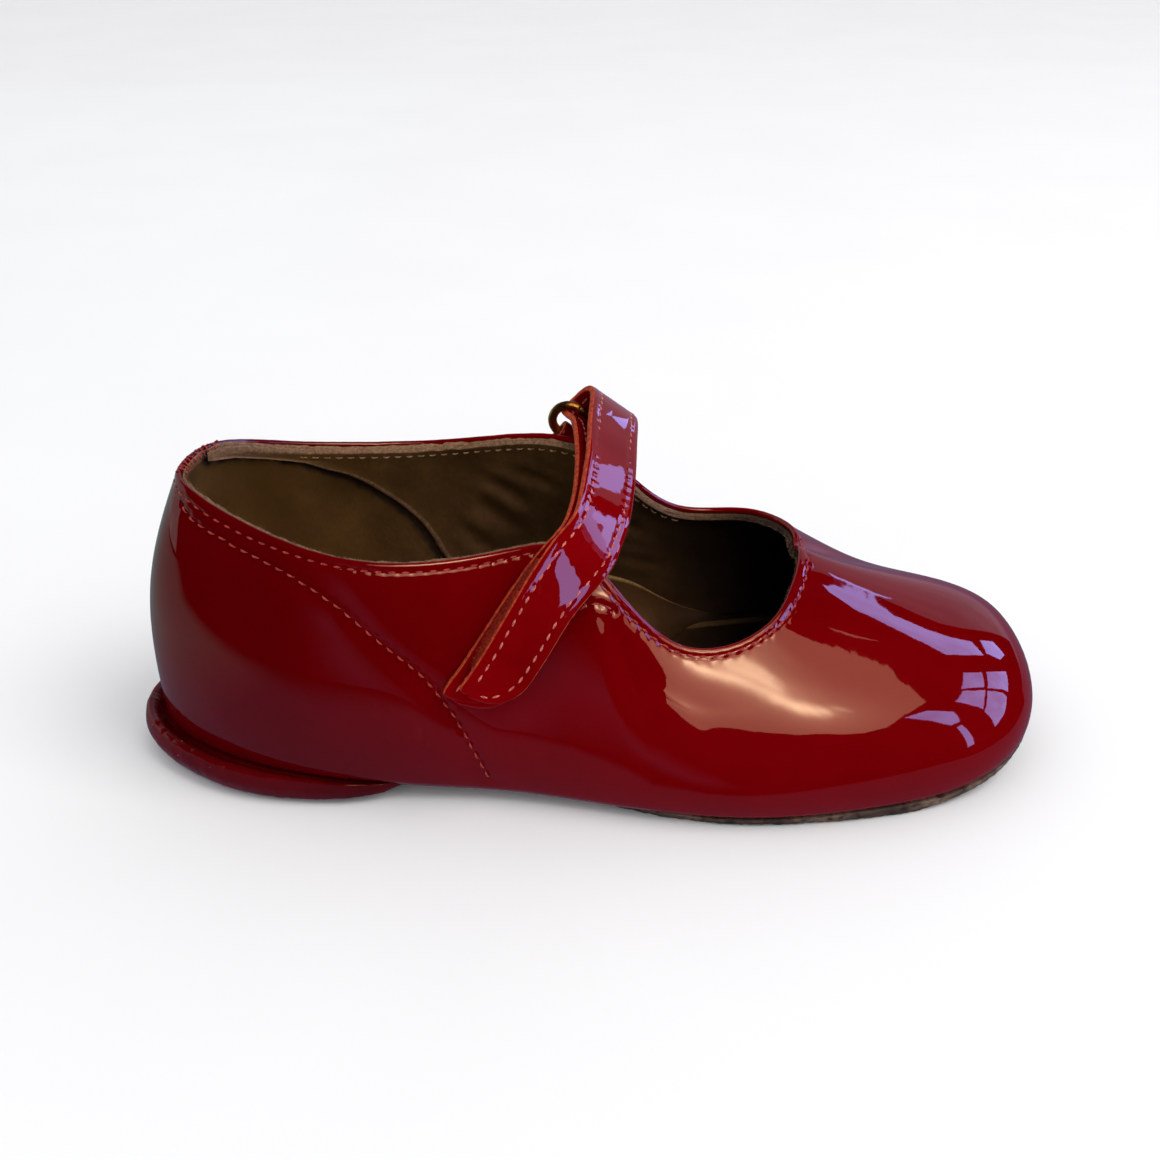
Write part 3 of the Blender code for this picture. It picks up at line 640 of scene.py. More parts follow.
def fibre(name, dark, light, rough=0.8, size=0.6, sheen=0.3):
    p = Paint(name)
    col = p.ramp(p.noise(size, 3, 0.65), [(0.3, dark), (0.7, light)])
    n = p.bump(p.noise(0.35, 3, 0.7), 0.6, 0.08)
    return p.set(Base_Color=col, Roughness=rough, Specular_IOR_Level=0.25, Sheen_Weight=sheen, Normal=n)


RED = patent("patent_red", srgb(96, 0, 2), srgb(103, 0, 3), srgb(108, 1, 6), low=srgb(93, 4, 11))
RED_RIM = patent("patent_rim", srgb(58, 1, 3), srgb(76, 2, 5), srgb(96, 5, 9), coat=0.8, wave=0.4, dust=True)
RED_STRAP = patent("patent_strap", srgb(100, 0, 3), srgb(115, 1, 5), srgb(126, 3, 9), wave=0.22)
THREAD = fibre("thread_coral", srgb(112, 16, 12), srgb(184, 58, 46), 0.6, 0.5, 0.1)
RAW_RED = fibre("raw_edge_red", srgb(112, 20, 6), srgb(196, 74, 30), 0.9, 0.7, 0.0)
# strap thread: coral thread brightened to rose with painted highlight, standing in for the glints along the strap rows
THREAD_ROSE_HIGHLIT = fibre("thread_rose_painted_highlight", srgb(136, 26, 22), srgb(230, 132, 116), 0.55, 0.5, 0.1)
THREAD_LINEN = fibre("thread_linen", srgb(84, 56, 32), srgb(170, 134, 96), 0.8, 0.5, 0.1)
RAW_TAN = fibre("raw_edge_tan", srgb(86, 60, 44), srgb(162, 122, 94), 0.9, 0.6, 0.0)
LINING = leather("lining_leather", srgb(54, 34, 4), srgb(76, 50, 9), srgb(108, 75, 22), edge=(srgb(78, 54, 32), srgb(140, 106, 74)), shade=True)
INSOLE = leather("insole_leather", srgb(50, 31, 3), srgb(70, 45, 6), srgb(92, 63, 14), size=14.0, edge=(srgb(104, 76, 38), srgb(156, 120, 72)))
FUZZ = fibre("loop_fuzz", srgb(84, 8, 4), srgb(176, 44, 20), 0.95, 0.5, 0.0)


# ------------------------------------------------------------------ wall helpers
TT = np.linspace(0.012, 1.0, 181)


def wall_T(u, T):
    """Wall points for a table of t values, one row of t for each u."""
    f, p1, p2, q = [ring_spline(ROUND, c, u)[:, None, :] for c in CONTROLS]
    t = np.asarray(T, float)[..., None]
    return (1 - t)**3 * f + 3 * (1 - t)**2 * t * p1 + 3 * (1 - t) * t * t * p2 + t**3 * q


def normal_T(u, T):
    e = 1e-3
    n = np.cross(wall_T(u + e, T) - wall_T(u - e, T), wall_T(u, T + e) - wall_T(u, T - e))
    return unit(n)


def top_drop(u):
    """Length along the wall from the top line down to each t of TT."""
    seg = np.linalg.norm(np.diff(wall(u, TT), axis=1), axis=2)
    D = np.zeros((len(u), len(TT)))
    D[:, :-1] = np.cumsum(seg[:, ::-1], axis=1)[:, ::-1]
    return D


def t_for(D, want):
    """Height share t at each wanted drop; a negative drop lies above the top line."""
    out = np.empty_like(want)
    for i in range(len(want)):
        out[i] = np.interp(want[i], D[i, ::-1], TT[::-1])
    slope = (D[:, -3] / (1.0 - TT[-3]))[:, None]
    return out + np.maximum(-want, 0) / slope


def skin_points(u, t):
    """Points and outward directions for paired u and t."""
    u = np.atleast_1d(np.asarray(u, float)); t = np.atleast_1d(np.asarray(t, float))
    return wall_T(u, t[:, None])[:, 0], normal_T(u, t[:, None])[:, 0]


def closed_lin(table, u):
    t = np.array(table, float)
    x = np.concatenate([[t[-1, 0] - 1], t[:, 0], [t[0, 0] + 1]])
    y = np.concatenate([[t[-1, 1]], t[:, 1], [t[0, 1]]])
    return np.interp(np.asarray(u) % 1.0, x, y)


# How far the edge stitching runs below the top line, round the shoe
EDGE_ROW = [(0.0, 1.5), (0.036, 1.6), (0.054, 1.85), (0.076, 1.8), (0.10, 1.5), (0.14, 1.35), (0.186, 1.4),
            (0.23, 1.25), (0.27, 1.7), (0.297, 2.1), (0.318, 1.7), (0.345, 1.35), (0.385, 1.35), (0.409, 1.9),
            (0.43, 2.25), (0.452, 2.1), (0.48, 1.7), (0.51, 1.45), (0.56, 1.4), (0.62, 1.5), (0.69, 1.6),
            (0.76, 1.5), (0.84, 1.4), (0.92, 1.5), (0.97, 1.5)]
# Seam of the heel counter, lateral side: share of the way round, height share
COUNTER = [(0.031, 0.968), (0.045, 0.925), (0.060, 0.915), (0.074, 0.908), (0.089, 0.897), (0.106, 0.866),
           (0.129, 0.775), (0.151, 0.646), (0.170, 0.525), (0.178, 0.455), (0.187, 0.355), (0.193, 0.27),
           (0.198, 0.175), (0.204, 0.03)]
# Short seam that runs from the back of the throat down under the strap
STRAP_SEAM = [(0.292, 0.875), (0.281, 0.84), (0.271, 0.795), (0.262, 0.745)]
PITCH = 2.15
SEAM_PITCH = 2.2


def seam_line(table, mirror=False, n=260):
    k = np.array(table, float)
    if mirror:
        k = k.copy(); k[:, 0] = 1 - 0.985 * k[:, 0]
    s = np.concatenate([[0], np.cumsum(np.hypot(np.diff(k[:, 0]) * 380, np.diff(k[:, 1]) * 45))])
    q = np.linspace(0, s[-1], n)
    ut = spline(s, k, q)
    P, N = skin_points(ut[:, 0], ut[:, 1])
    return P, N


COUNTER_L = seam_line(COUNTER)
COUNTER_M = seam_line(COUNTER, True)
SEAM_S = seam_line(STRAP_SEAM, n=80)


def line_dist(P, line, reach):
    """Distance of points to a polyline, and the length along it, within a reach."""
    L = np.asarray(line)
    s = np.concatenate([[0], np.cumsum(np.linalg.norm(np.diff(L, axis=0), axis=1))])
    Q = P.reshape(-1, 3)
    lo, hi = L.min(0) - reach, L.max(0) + reach
    near = np.where(((Q > lo) & (Q < hi)).all(1))[0]
    dist = np.full(len(Q), 1e3); along = np.zeros(len(Q))
    for a in range(0, len(near), 3000):
        idx = near[a:a + 3000]
        d = np.linalg.norm(Q[idx, None, :] - L[None, :, :], axis=2)
        j = d.argmin(1)
        dist[idx] = d[np.arange(len(idx)), j]
        along[idx] = s[j]
    return dist.reshape(P.shape[:-1]), along.reshape(P.shape[:-1])


def holes(along, pitch, w):
    """1 at each needle hole of a row, 0 in between."""
    ph = (along / pitch + 0.5) % 1.0 - 0.5
    return bell(ph * pitch, w)


# Creases and soft folds of the outer leather: points in mm, width, depth
# (positive depth is a trough, negative a ridge)
CREASES = [
    ([(117.5, -29.2, 21.5), (118.2, -27.6, 23.2), (118.6, -25.6, 25.0)], 0.30, 0.050),
    ([(119.8, -29.6, 20.0), (120.6, -28.0, 22.0), (121.0, -26.4, 23.6)], 0.30, 0.045),
    ([(122.6, -29.4, 19.4), (123.2, -27.8, 21.4), (123.6, -26.2, 22.8)], 0.30, 0.040),
]
# Small swellings: place in mm, width, height
SWELLS = [((84.3, -21.0, 37.6), 2.2, 0.22)]


def leather_relief(P, N, d, u, s):
    """Height in mm of the outer leather over the plain last."""
    g = closed_lin(EDGE_ROW, u)[:, None]
    toe = ease(P[..., 0], 84, 108)
    h = (0.075 - 0.045 * toe) * fbm(P, 16.0, 2, 3)
    h += (0.016 - 0.012 * toe) * fbm(P, 6.0, 2, 5)
    # rounded edge bead, the trough of the edge row and its needle holes
    h -= 0.13 * bell(d - g, 0.40)
    h += 0.08 * bell(d - g * 0.45, 0.6)
    pull = 0.75 + 0.45 * vnoise(P, 9.0, 31)
    h -= 0.12 * pull * holes(s, PITCH, 0.36) * bell(d - g, 0.55)
    throat = ease(u, 0.27, 0.31) * (1 - ease(u, 0.66, 0.72))
    h -= (0.05 * throat)[:, None] * pull * holes(s, PITCH, 0.5) * bell(d - g - 0.5, 0.9)
    # the leather draws in below the back of the throat, where the strap pulls
    drawn = ease(u, 0.276, 0.298) * (1 - ease(u, 0.328, 0.388))
    h -= (1.05 * drawn)[:, None] * ease(d, 0.4, 11.0) * (1 - ease(d, 13.5, 32.0))
    for spot, wide, up in SWELLS:
        h += up * bell(np.linalg.norm(P - np.array(spot), axis=2), wide)
    for line, side in ((COUNTER_L, 1), (COUNTER_M, 1)):
        dist, along = line_dist(P, line[0], 8.0)
        fade = ease(d, 1.2, 3.0)
        h -= fade * 0.26 * bell(dist, 2.4)
        h -= fade * 0.16 * bell(dist, 0.42)
        h -= fade * 0.12 * holes(along, SEAM_PITCH, 0.45) * bell(dist, 0.8)
    dist, along = line_dist(P, SEAM_S[0], 4.0)
    h -= 0.15 * bell(dist, 0.45)
    h -= 0.12 * holes(along, 2.2, 0.45) * bell(dist, 0.8)
    h += 0.08 * bell(dist - 1.1, 0.6)
    for pts, width, depth in CREASES:
        line = spline(np.arange(len(pts)), np.array(pts, float), np.linspace(0, len(pts) - 1, 60))
        dist, along = line_dist(P, line, 3.5 * width)
        L = max(along.max(), 1e-3)
        taper = ease(along / L, 0.0, 0.3) * (1 - ease(along / L, 0.7, 1.0))
        h -= depth * bell(dist, width) * (0.25 + 0.75 * taper)
    return h


# ------------------------------------------------------------------ outer leather
NU = 800
U = np.arange(NU) / NU
DROP = top_drop(U)
LEN = DROP[:, 0]
TOPLINE = wall_T(U, np.ones((NU, 1)))[:, 0]
S_TOP = np.concatenate([[0], np.cumsum(np.linalg.norm(np.diff(np.concatenate([TOPLINE, TOPLINE[:1]]), axis=0), axis=1))])
TOTAL = S_TOP[-1]
N_ST = int(round(TOTAL / PITCH))
PITCH = TOTAL / N_ST
S_TOP = S_TOP[:-1]
near = np.arange(0.42, 4.2, 0.19)
next_ = np.arange(4.4, 8.0, 0.42)
share = np.linspace(0, 1, 54)[1:]
want = np.concatenate([np.broadcast_to(near, (NU, len(near))), np.broadcast_to(next_, (NU, len(next_))),
                       next_[-1] + share[None, :] * (LEN[:, None] - next_[-1])], 1)
T = t_for(DROP, want)
P = wall_T(U, T); N = normal_T(U, T)
H = leather_relief(P, N, want, U, S_TOP[:, None])
H *= ease(LEN[:, None] - want, -0.2, 2.0) * 0.9 + 0.1
SKIN = P + N * H[..., None]

ROLL = 0.52
tdir = unit(wall_T(U, np.full((NU, 1), 1.0)) - wall_T(U, np.full((NU, 1), 0.985)))
n0 = N[:, :1]
centre = SKIN[:, :1] + tdir * 0.02 - n0 * ROLL
wob = 1 + 0.10 * vnoise(TOPLINE, 3.1, 12)[:, None, None] + 0.05 * holes(S_TOP + 0.5, PITCH, 0.6)[:, None, None]
phi = np.linspace(0, math.pi, 11)[1:-1][None, :, None]
roll = centre + ROLL * np.cos(phi) * n0 + ROLL * wob * np.sin(phi) * tdir
down = np.array([0.45, 1.1, 2.2, 4.0, 7.0, 12.0])
wd = np.minimum(np.broadcast_to(down, (NU, 6)), LEN[:, None] * 0.6)
Ti = t_for(DROP, wd)
inside = wall_T(U, Ti) - normal_T(U, Ti) * (2 * ROLL)
share_in = np.linspace(0.62, 0.93, 5)
Tl = t_for(DROP, share_in[None, :] * LEN[:, None])
inside_low = wall_T(U, Tl) - normal_T(U, Tl) * (2 * ROLL)
plan, head = outline(U)


def under(d, lift):
    p = plan - head * d
    return np.concatenate([p, (feather_z(p[:, 0]) + lift)[:, None]], 1)[:, None, :]


# the turned margin hangs a little lower along the arch
dip = 0.62 * ease(plan[:, 0], 44, 54) * (1 - ease(plan[:, 0], 82, 100)) + 0.30 * ease(plan[:, 0], 84, 104)
order = np.concatenate([under(MARGIN, 0.0), under(3.4, 0.0), under(1.7, -0.6 * dip), under(0.85, -0.02 - dip),
                        under(0.30, 0.05 - 0.7 * dip), SKIN[:, ::-1], roll, inside, inside_low,
                        under(1.5, 0.95), under(MARGIN, 0.7)], 1)
upper = loft("upper_patent", order, mats=[RED], ring_r=True, caps=False)
finish_piece(upper, "upper_patent", "upper")

# ------------------------------------------------------------------ lining
NL = 420
UL = np.arange(NL) / NL
DL = top_drop(UL); LL = DL[:, 0]
TOPL = wall_T(UL, np.ones((NL, 1)))[:, 0]


def inner_shell(u, D, L, want, inset, extra=None):
    T = t_for(D, want)
    P = wall_T(u, T); N = normal_T(u, T)
    off = np.broadcast_to(inset, want.shape) + (0 if extra is None else extra)
    return P - N * off[..., None], P, N


def ragged(P, a, b, seed):
    return a * vnoise(P, 1.4, seed) + b * vnoise(P, 0.55, seed + 3)


# Soft wrinkles of the lining: points in mm, width, depth
FOLDS = [
    ([(60, 21, 40), (66, 20, 37), (71, 20, 33)], 1.5, 0.45),
    ([(58, 21, 35), (64, 21, 31.5), (69, 21, 27.5)], 1.8, 0.40),
    ([(55, 21, 30), (60, 21.5, 26), (65, 22, 22)], 1.6, 0.35),
    ([(66, 20, 42), (72, 19, 40), (77, 18, 37)], 1.3, 0.35),
    ([(82, 19, 33), (88, 20, 29), (93, 21, 26)], 1.5, 0.50),
    ([(84, 20, 27), (90, 21, 24), (96, 22, 21)], 1.3, 0.45),
    ([(86, 21, 22), (92, 22.5, 19.5), (98, 23.5, 17)], 1.4, 0.45),
    ([(22, 11, 42), (29, 14, 38), (36, 17, 36)], 2.4, 0.30),
    ([(24, 13, 34), (32, 16, 31), (40, 18.5, 30)], 2.6, 0.30),
    ([(20, 10, 30), (27, 14, 26), (34, 17, 25)], 2.0, 0.25),
]


def lining_relief(P):
    h = 0.12 * fbm(P, 11.0, 3, 41) + 0.05 * fbm(P, 3.0, 2, 43)
    for pts, width, depth in FOLDS:
        line = spline(np.arange(len(pts)), np.array(pts, float), np.linspace(0, len(pts) - 1, 50))
        dist, along = line_dist(P, line, 4 * width)
        Lg = max(along.max(), 1e-3)
        taper = ease(along / Lg, -0.05, 0.4) * (1 - ease(along / Lg, 0.6, 1.05))
        h -= depth * bell(dist, width) * (0.2 + 0.8 * taper)
        h += 0.5 * depth * bell(dist - 1.6 * width, 0.8 * width) * taper
    return h


def lining_shell(name, u, D, L, back, front, bevel, top_gap, slot, marks_extra=None, smooth_low=0.93):
    """Closed sleeve of lining between two insets from the last, with a slanted raw top."""
    n = len(u)
    top = wall_T(u, np.ones((n, 1)))[:, 0]
    rg = ragged(top, 0.20, 0.14, 61) + 0.16 * vnoise(top, 3.4, 67)
    bev = closed_lin(bevel, u)
    tg = top_gap + rg
    # down the back face, from the top
    wb = np.stack([tg, tg + 1.5, tg + 4, tg + 9], 1)
    sh = np.linspace(0.4, smooth_low, 5)[None, :] * L[:, None]
    wb = np.concatenate([np.minimum(wb, 0.35 * L[:, None]), sh], 1)
    Pb, _, _ = inner_shell(u, D, L, wb, back)
    # slanted raw cut
    kk = np.linspace(0, 1, 6)[1:-1]
    wc = tg[:, None] + kk[None, :] * bev[:, None]
    insc = back + (front - back) * kk ** 0.8
    Pc, _, Nc = inner_shell(u, D, L, wc, insc[None, :])
    Pc = Pc - Nc * (0.06 * vnoise(Pc, 0.5, 71))[..., None]
    # down the front face
    fa = (tg + bev)[:, None] + np.array([0.0, 0.35, 0.8, 1.4, 2.1, 3.0])[None, :]
    fb = np.linspace(0, 1, 44)[1:][None, :]
    wf = np.concatenate([fa, fa[:, -1:] + fb * (smooth_low * L[:, None] - fa[:, -1:])], 1)
    Pf, Pw, Nf = inner_shell(u, D, L, wf, front)
    rel = lining_relief(Pf) * ease(wf - fa[:, :1], 0.3, 3.0)
    row = bell(wf - closed_lin(EDGE_ROW, u)[:, None] - 0.45, 0.5)
    rel -= 0.10 * row
    Pf = Pf - Nf * rel[..., None]
    return Pb, Pc, Pf, wf, fa


BEVEL = [(0.0, 1.8), (0.025, 1.5), (0.05, 1.0), (0.09, 0.6), (0.12, 0.5), (0.22, 0.45), (0.30, 0.34), (0.36, 0.16), (0.70, 0.16), (0.78, 0.24), (0.84, 0.34), (0.90, 0.55), (0.94, 0.95), (0.97, 1.6)]
# How far the two linings stop below the top line, round the shoe
GAP_HEEL = [(0.0, -0.24), (0.24, -0.24), (0.29, 0.05), (0.34, 0.22), (0.5, 0.26), (0.66, 0.24), (0.88, 0.20), (0.925, 0.05), (0.95, -0.14), (0.97, -0.24)]
GAP_QUARTER = [(0.0, -0.06), (0.24, -0.06), (0.29, 0.20), (0.34, 0.40), (0.5, 0.46), (0.66, 0.44), (0.88, 0.40), (0.925, 0.25), (0.95, 0.10), (0.97, -0.02)]
# Raw front edge of the quarter lining over the heel piece: share round (medial
# side; the lateral side mirrors it), height share
LIN_EDGE = [(0.976, 0.985), (0.973, 0.962), (0.963, 0.959), (0.943, 0.951), (0.926, 0.943), (0.916, 0.929), (0.907, 0.895),
            (0.897, 0.864), (0.888, 0.814), (0.877, 0.740), (0.866, 0.669), (0.852, 0.573), (0.844, 0.504),
            (0.837, 0.434), (0.832, 0.389), (0.826, 0.30), (0.822, 0.20), (0.820, 0.08)]
_e = np.array(LIN_EDGE)[::-1]


def edge_u(t):
    return np.interp(t, _e[:, 1], _e[:, 0])


def edge_line(offset=0.0):
    t = np.linspace(0.09, 0.984, 240)
    u = edge_u(t)
    P, N = skin_points(u, t)
    return P - N * (1.75 + offset)


Pb, Pc, Pf, wf, fa = lining_shell("heel_lining", UL, DL, LL, 1.12, 1.78, BEVEL, closed_lin(GAP_HEEL, UL), "insole_leather")
planL, headL = outline(UL)


def under_l(d, lift):
    p = planL - headL * d
    return np.concatenate([p, (feather_z(p[:, 0]) + lift)[:, None]], 1)[:, None, :]


S = np.concatenate([under_l(MARGIN, 0.8), under_l(1.6, 1.0), Pb[:, ::-1], Pc, Pf,
                    under_l(1.9, 1.35), under_l(MARGIN, 1.2)], 1)
raw = np.concatenate([np.zeros((NL, 2 + Pb.shape[1])), np.ones((NL, Pc.shape[1])),
                      1 - ease(wf - fa[:, :1], 0.0, 0.5), np.zeros((NL, 2))], 1)
raw[:, Pb.shape[1] + 1] = 1
# painted shadow: dark line where the heel piece runs in under the quarter lining
EL = edge_line()
dist, _ = line_dist(S, EL, 3.0)
shade = (1 - ease(dist + 0.40 * vnoise(S, 0.7, 77), 0.85, 1.75)) * 0.97
heel_lining = loft("heel_lining", S, mats=[LINING], ring_r=True, caps=False, marks={"raw": raw, "shade": shade})
finish_piece(heel_lining, "insole_leather")

# quarter and vamp lining, laid over the heel piece with a raw front edge
NQ = 520
kq = np.linspace(0, 1, NQ)
tq = np.concatenate([np.linspace(0.09, 0.86, 46), np.linspace(0.87, 0.965, 12)])


def quarter(tvals, inset, edge_in=0.0, relief=False, lift=None):
    out = []
    for t in tvals:
        um = edge_u(t) - edge_in / 330.0
        ul = (1 - edge_u(t)) * 1.015 + edge_in / 330.0
        uu_ = ul + (um - ul) * kq
        Pq = wall_T(uu_, np.full((NQ, 1), t))[:, 0]
        Nq = normal_T(uu_, np.full((NQ, 1), t))[:, 0]
        near_edge = np.minimum(kq, 1 - kq) * (um - ul) * 330.0
        off = np.full(NQ, inset)
        # the raw edge lifts a little off the heel piece and is cut at a slant
        if lift is not None:
            off = off + lift * np.exp(-(near_edge / 2.2) ** 2)
        Pq = Pq - Nq * off[:, None]
        out.append(Pq)
    return np.array(out)


front_q = quarter(tq, 2.35, 0.9, lift=0.22)
back_q = quarter(tq, 1.78, 0.0, lift=0.20)
# wrinkles on the visible face
for i, t in enumerate(tq):
    um = edge_u(t); ul = (1 - um) * 1.015
    uu_ = ul + (um - ul) * kq
    Nq = normal_T(uu_, np.full((NQ, 1), t))[:, 0]
    rel = lining_relief(front_q[i]) * np.minimum(1, np.minimum(kq, 1 - kq) * 30)
    front_q[i] -= Nq * rel[:, None]
# top of the quarter lining: slanted raw cut from the front face up to the back
topu = np.linspace(0, 1, 5)[1:-1]
um1 = edge_u(0.984); ul1 = (1 - um1) * 1.015
uu1 = ul1 + (um1 - ul1) * kq
D1 = top_drop(uu1); L1 = D1[:, 0]
tp = wall_T(uu1, np.ones((NQ, 1)))[:, 0]
tg1 = closed_lin(GAP_QUARTER, uu1) + ragged(tp, 0.16, 0.12, 64) * (1 - 0.6 * ease(uu1, 0.28, 0.34) * (1 - ease(uu1, 0.72, 0.85)))
bv1 = closed_lin(BEVEL, uu1)
caps_ = []
first_row = np.array([np.interp(tq[-1], TT, D1[i]) for i in range(NQ)])     # drop of the first full row
for kk in (0.0, 0.25, 0.5, 0.75, 1.0, 1.3):
    wq = np.minimum(tg1 + min(kk, 1.0) * bv1 + max(kk - 1.0, 0), (0.55 + 0.22 * kk) * first_row)[:, None]
    Tq = t_for(D1, wq)
    Pq = wall_T(uu1, Tq)[:, 0]; Nq = normal_T(uu1, Tq)[:, 0]
    ins = 1.78 + (2.35 - 1.78) * min(kk, 1.0) ** 0.8
    Pq = Pq - Nq * (ins + 0.05 * vnoise(Pq, 0.5, 73))[:, None]
    caps_.append(Pq)
S = np.concatenate([back_q, np.array(caps_), front_q[::-1]], 0)
# sections run round the shoe, points run down the front and up the back
S = np.transpose(S, (1, 0, 2))
nb, nf = len(back_q), len(front_q)
# raw-edge marks over the cut top and the start of the front face, and along the front edge
rawq = np.zeros(S.shape[:2])
rawq[:, nb:nb + 4] = 1
rawq[:, nb + 4] = 0.55 + 0.4 * ease(bv1, 0.5, 1.0)
rawq[:, nb + 5] = 0.05 + 0.9 * ease(bv1, 0.5, 1.0)
rawq[:, nb + 6] = 0.75 * ease(bv1, 0.6, 1.2)
rawq[:, nb + 7] = 0.45 * ease(bv1, 0.8, 1.4)
edge_mm = np.minimum(kq, 1 - kq)[:, None] * 300.0
rawq *= (1 - 0.45 * ease(uu1, 0.34, 0.44) * (1 - ease(uu1, 0.68, 0.78)))[:, None]
rawq = np.maximum(rawq, 1 - ease(edge_mm, 0.8, 1.7))


def end_caps(name, S, mats, marks):
    """Loft with each end closed by quads between facing points."""
    nr, nc = S.shape[:2]
    q = grid_quads(nr, nc, ring_c=True)
    # pair the points of the two faces by walking in from both sides
    a, b = 0, nc - 1
    first = []
    tri = []
    while b - a >= 3:
        first.append((a, b, b - 1, a + 1)); a += 1; b -= 1
    if b - a == 2:
        tri.append((a, b, a + 1))
    first = np.array(first)
    last = first[:, ::-1] + (nr - 1) * nc
    q = np.concatenate([q, first, last])
    t = None
    if tri:
        t = np.array(tri)
        t = np.concatenate([t, t[:, ::-1] + (nr - 1) * nc])
    return new_piece(name, S.reshape(-1, 3), q, t, mats=mats, marks=marks)


quarter_lining = end_caps("quarter_lining", S, [LINING], {"raw": rawq, "shade": np.zeros(S.shape[:2])})
finish_piece(quarter_lining, "insole_leather")


# ------------------------------------------------------------------ flat pieces
TOE_U = 0.505


def side(u, out, z):
    p, h = outline(u)
    q = p + h * (np.asarray(out)[:, None] if np.ndim(out) else out)
    return np.concatenate([q, (z(q[:, 0]) if callable(z) else z)[:, None]], 1)


def round_profile(E, n):
    """Smooth profile through edge rings E (rings x stations x 3), n points each."""
    E = np.asarray(E)
    k = np.linspace(0, 1, len(E))
    m = E.shape[0]
    flat = spline(k, E.reshape(m, -1), np.linspace(0, 1, n)).reshape(n, *E.shape[1:])
    return flat


def straight_profile(E, per):
    out = []
    for a, b in zip(E[:-1], E[1:]):
        for k in np.arange(per) / per:
            out.append(a * (1 - k) + b * k)
    out.append(E[-1])
    return np.array(out)


def across(l, m, z, n):
    k = (np.arange(1, n) / n)[None, :, None]
    p = l[:, None, :] * (1 - k) + m[:, None, :] * k
    p[..., 2] = z(p[..., 0])
    return p


def slab(edge, top, bottom, ul, um, n, profile):
    """Sections of a flat piece: lateral edge, top face, medial edge, bottom face."""
    el, em = profile(edge(ul)), profile(edge(um))
    L = np.transpose(el, (1, 0, 2))[:, ::-1]
    M = np.transpose(em, (1, 0, 2))
    return np.concatenate([L, across(el[0], em[0], top, n), M, across(el[-1], em[-1], bottom, n)[:, ::-1]], 1), L.shape[1], M.shape[1]


def end_fan(name, S, mats, marks=None, quad_mat=None, front=True, back=True):
    """Loft of closed sections whose two ends are closed by a fan to their middle."""
    nr, nc = S.shape[:2]
    V = S.reshape(-1, 3)
    q = grid_quads(nr, nc, ring_c=True)
    tris, extra = [], []
    for r, on in ((0, back), (nr - 1, front)):
        if not on:
            continue
        mid = len(V) + len(extra)
        extra.append(S[r].mean(0))
        i = np.arange(nc)
        t = np.stack([np.full(nc, mid), r * nc + i, r * nc + (i + 1) % nc], -1)
        tris.append(t[:, ::-1] if r == 0 else t)
    # the fans face out: the first section's fan runs the other way round
    tris = [tris[0][:, ::-1][:, ::-1], *tris[1:]] if tris else []
    V = np.concatenate([V, np.array(extra)]) if extra else V
    mk = None
    if marks:
        mk = {k: np.concatenate([np.asarray(v, float).ravel(), np.zeros(len(extra))]) for k, v in marks.items()}
    return new_piece(name, V, q, np.concatenate(tris) if tris else None, mats=mats, quad_mat=quad_mat, marks=mk)


tread_z = lambda x: lin(TREAD, x)
f_under = lambda x: feather_z(x) - GAP


def outsole_top(x):
    return np.where(x < 65, lin(OUTSOLE_TOP, x), f_under(x) - 0.30 * ease(x, 84, 104))


def outsole_edge(uu):
    p, _ = outline(uu)
    inset = lin(OUTSOLE_INSET, p[:, 0])
    inset = inset + 1.5 * ease(p[:, 0], 41, 47) * (1 - ease(p[:, 0], 70, 86))     # tucked under along the arch
    return [side(uu, -inset - 0.30, outsole_top),
            side(uu, -inset - 0.08, lambda x: outsole_top(x) - 0.05),
            side(uu, -inset, lambda x: outsole_top(x) - 0.30),
            side(uu, -inset - 0.22, lambda x: (outsole_top(x) + tread_z(x)) / 2),
            side(uu, -inset - 0.52, lambda x: tread_z(x) + 0.45),
            side(uu, -inset - 0.74, lambda x: tread_z(x) + 0.12),
            side(uu, -inset - 1.10, tread_z)]


def shape_normals(S, ring_c=True):
    A = np.roll(S, -1, 1) - np.roll(S, 1, 1)
    B = np.gradient(S, axis=0)
    n = np.cross(B, A)
    return unit(n)


hs = np.linspace(0, 1, 460)
hs = hs + 0.0
S, nl, nm = slab(outsole_edge, outsole_top, tread_z, hs * TOE_U, 1 - hs * (1 - TOE_U), 26, lambda e: straight_profile(np.array(e), 4))
N0 = shape_normals(S)
mid = S.mean(1, keepdims=True)
if ((S - mid) * N0).sum() < 0:
    N0 = -N0
grainy = pebbles(S, 0.95, 3)
h = 0.22 * (0.55 - grainy) + 0.05 * vnoise(S, 0.5, 5) + 0.08 * vnoise(S, 5.0, 6)
colmask = np.zeros(S.shape[:2])
edge_cols = np.r_[0:nl, nl + 25:nl + 25 + nm]
colmask[:, edge_cols] = 1.0
colmask[:, nl + 25 + nm:] = 0.75            # underside
mk = h * colmask
flat_under = np.zeros(S.shape[:2]); flat_under[:, nl + 25 + nm:] = 1
mk = np.where(flat_under > 0, np.minimum(mk, 0.02), mk)
S = S + N0 * (mk * ease(S[..., 0], -5, 4))[..., None]
S[..., 2] = np.maximum(S[..., 2], 0.0)
outsole = end_fan("outsole_rubber", S, [], marks={"cell": grainy})
CREPE = Paint("crepe_rubber")
tone = CREPE.noise(7, 3, 0.6)
base = CREPE.ramp(tone, [(0.3, srgb(38, 29, 25)), (0.52, srgb(78, 61, 52)), (0.75, srgb(126, 104, 88))])
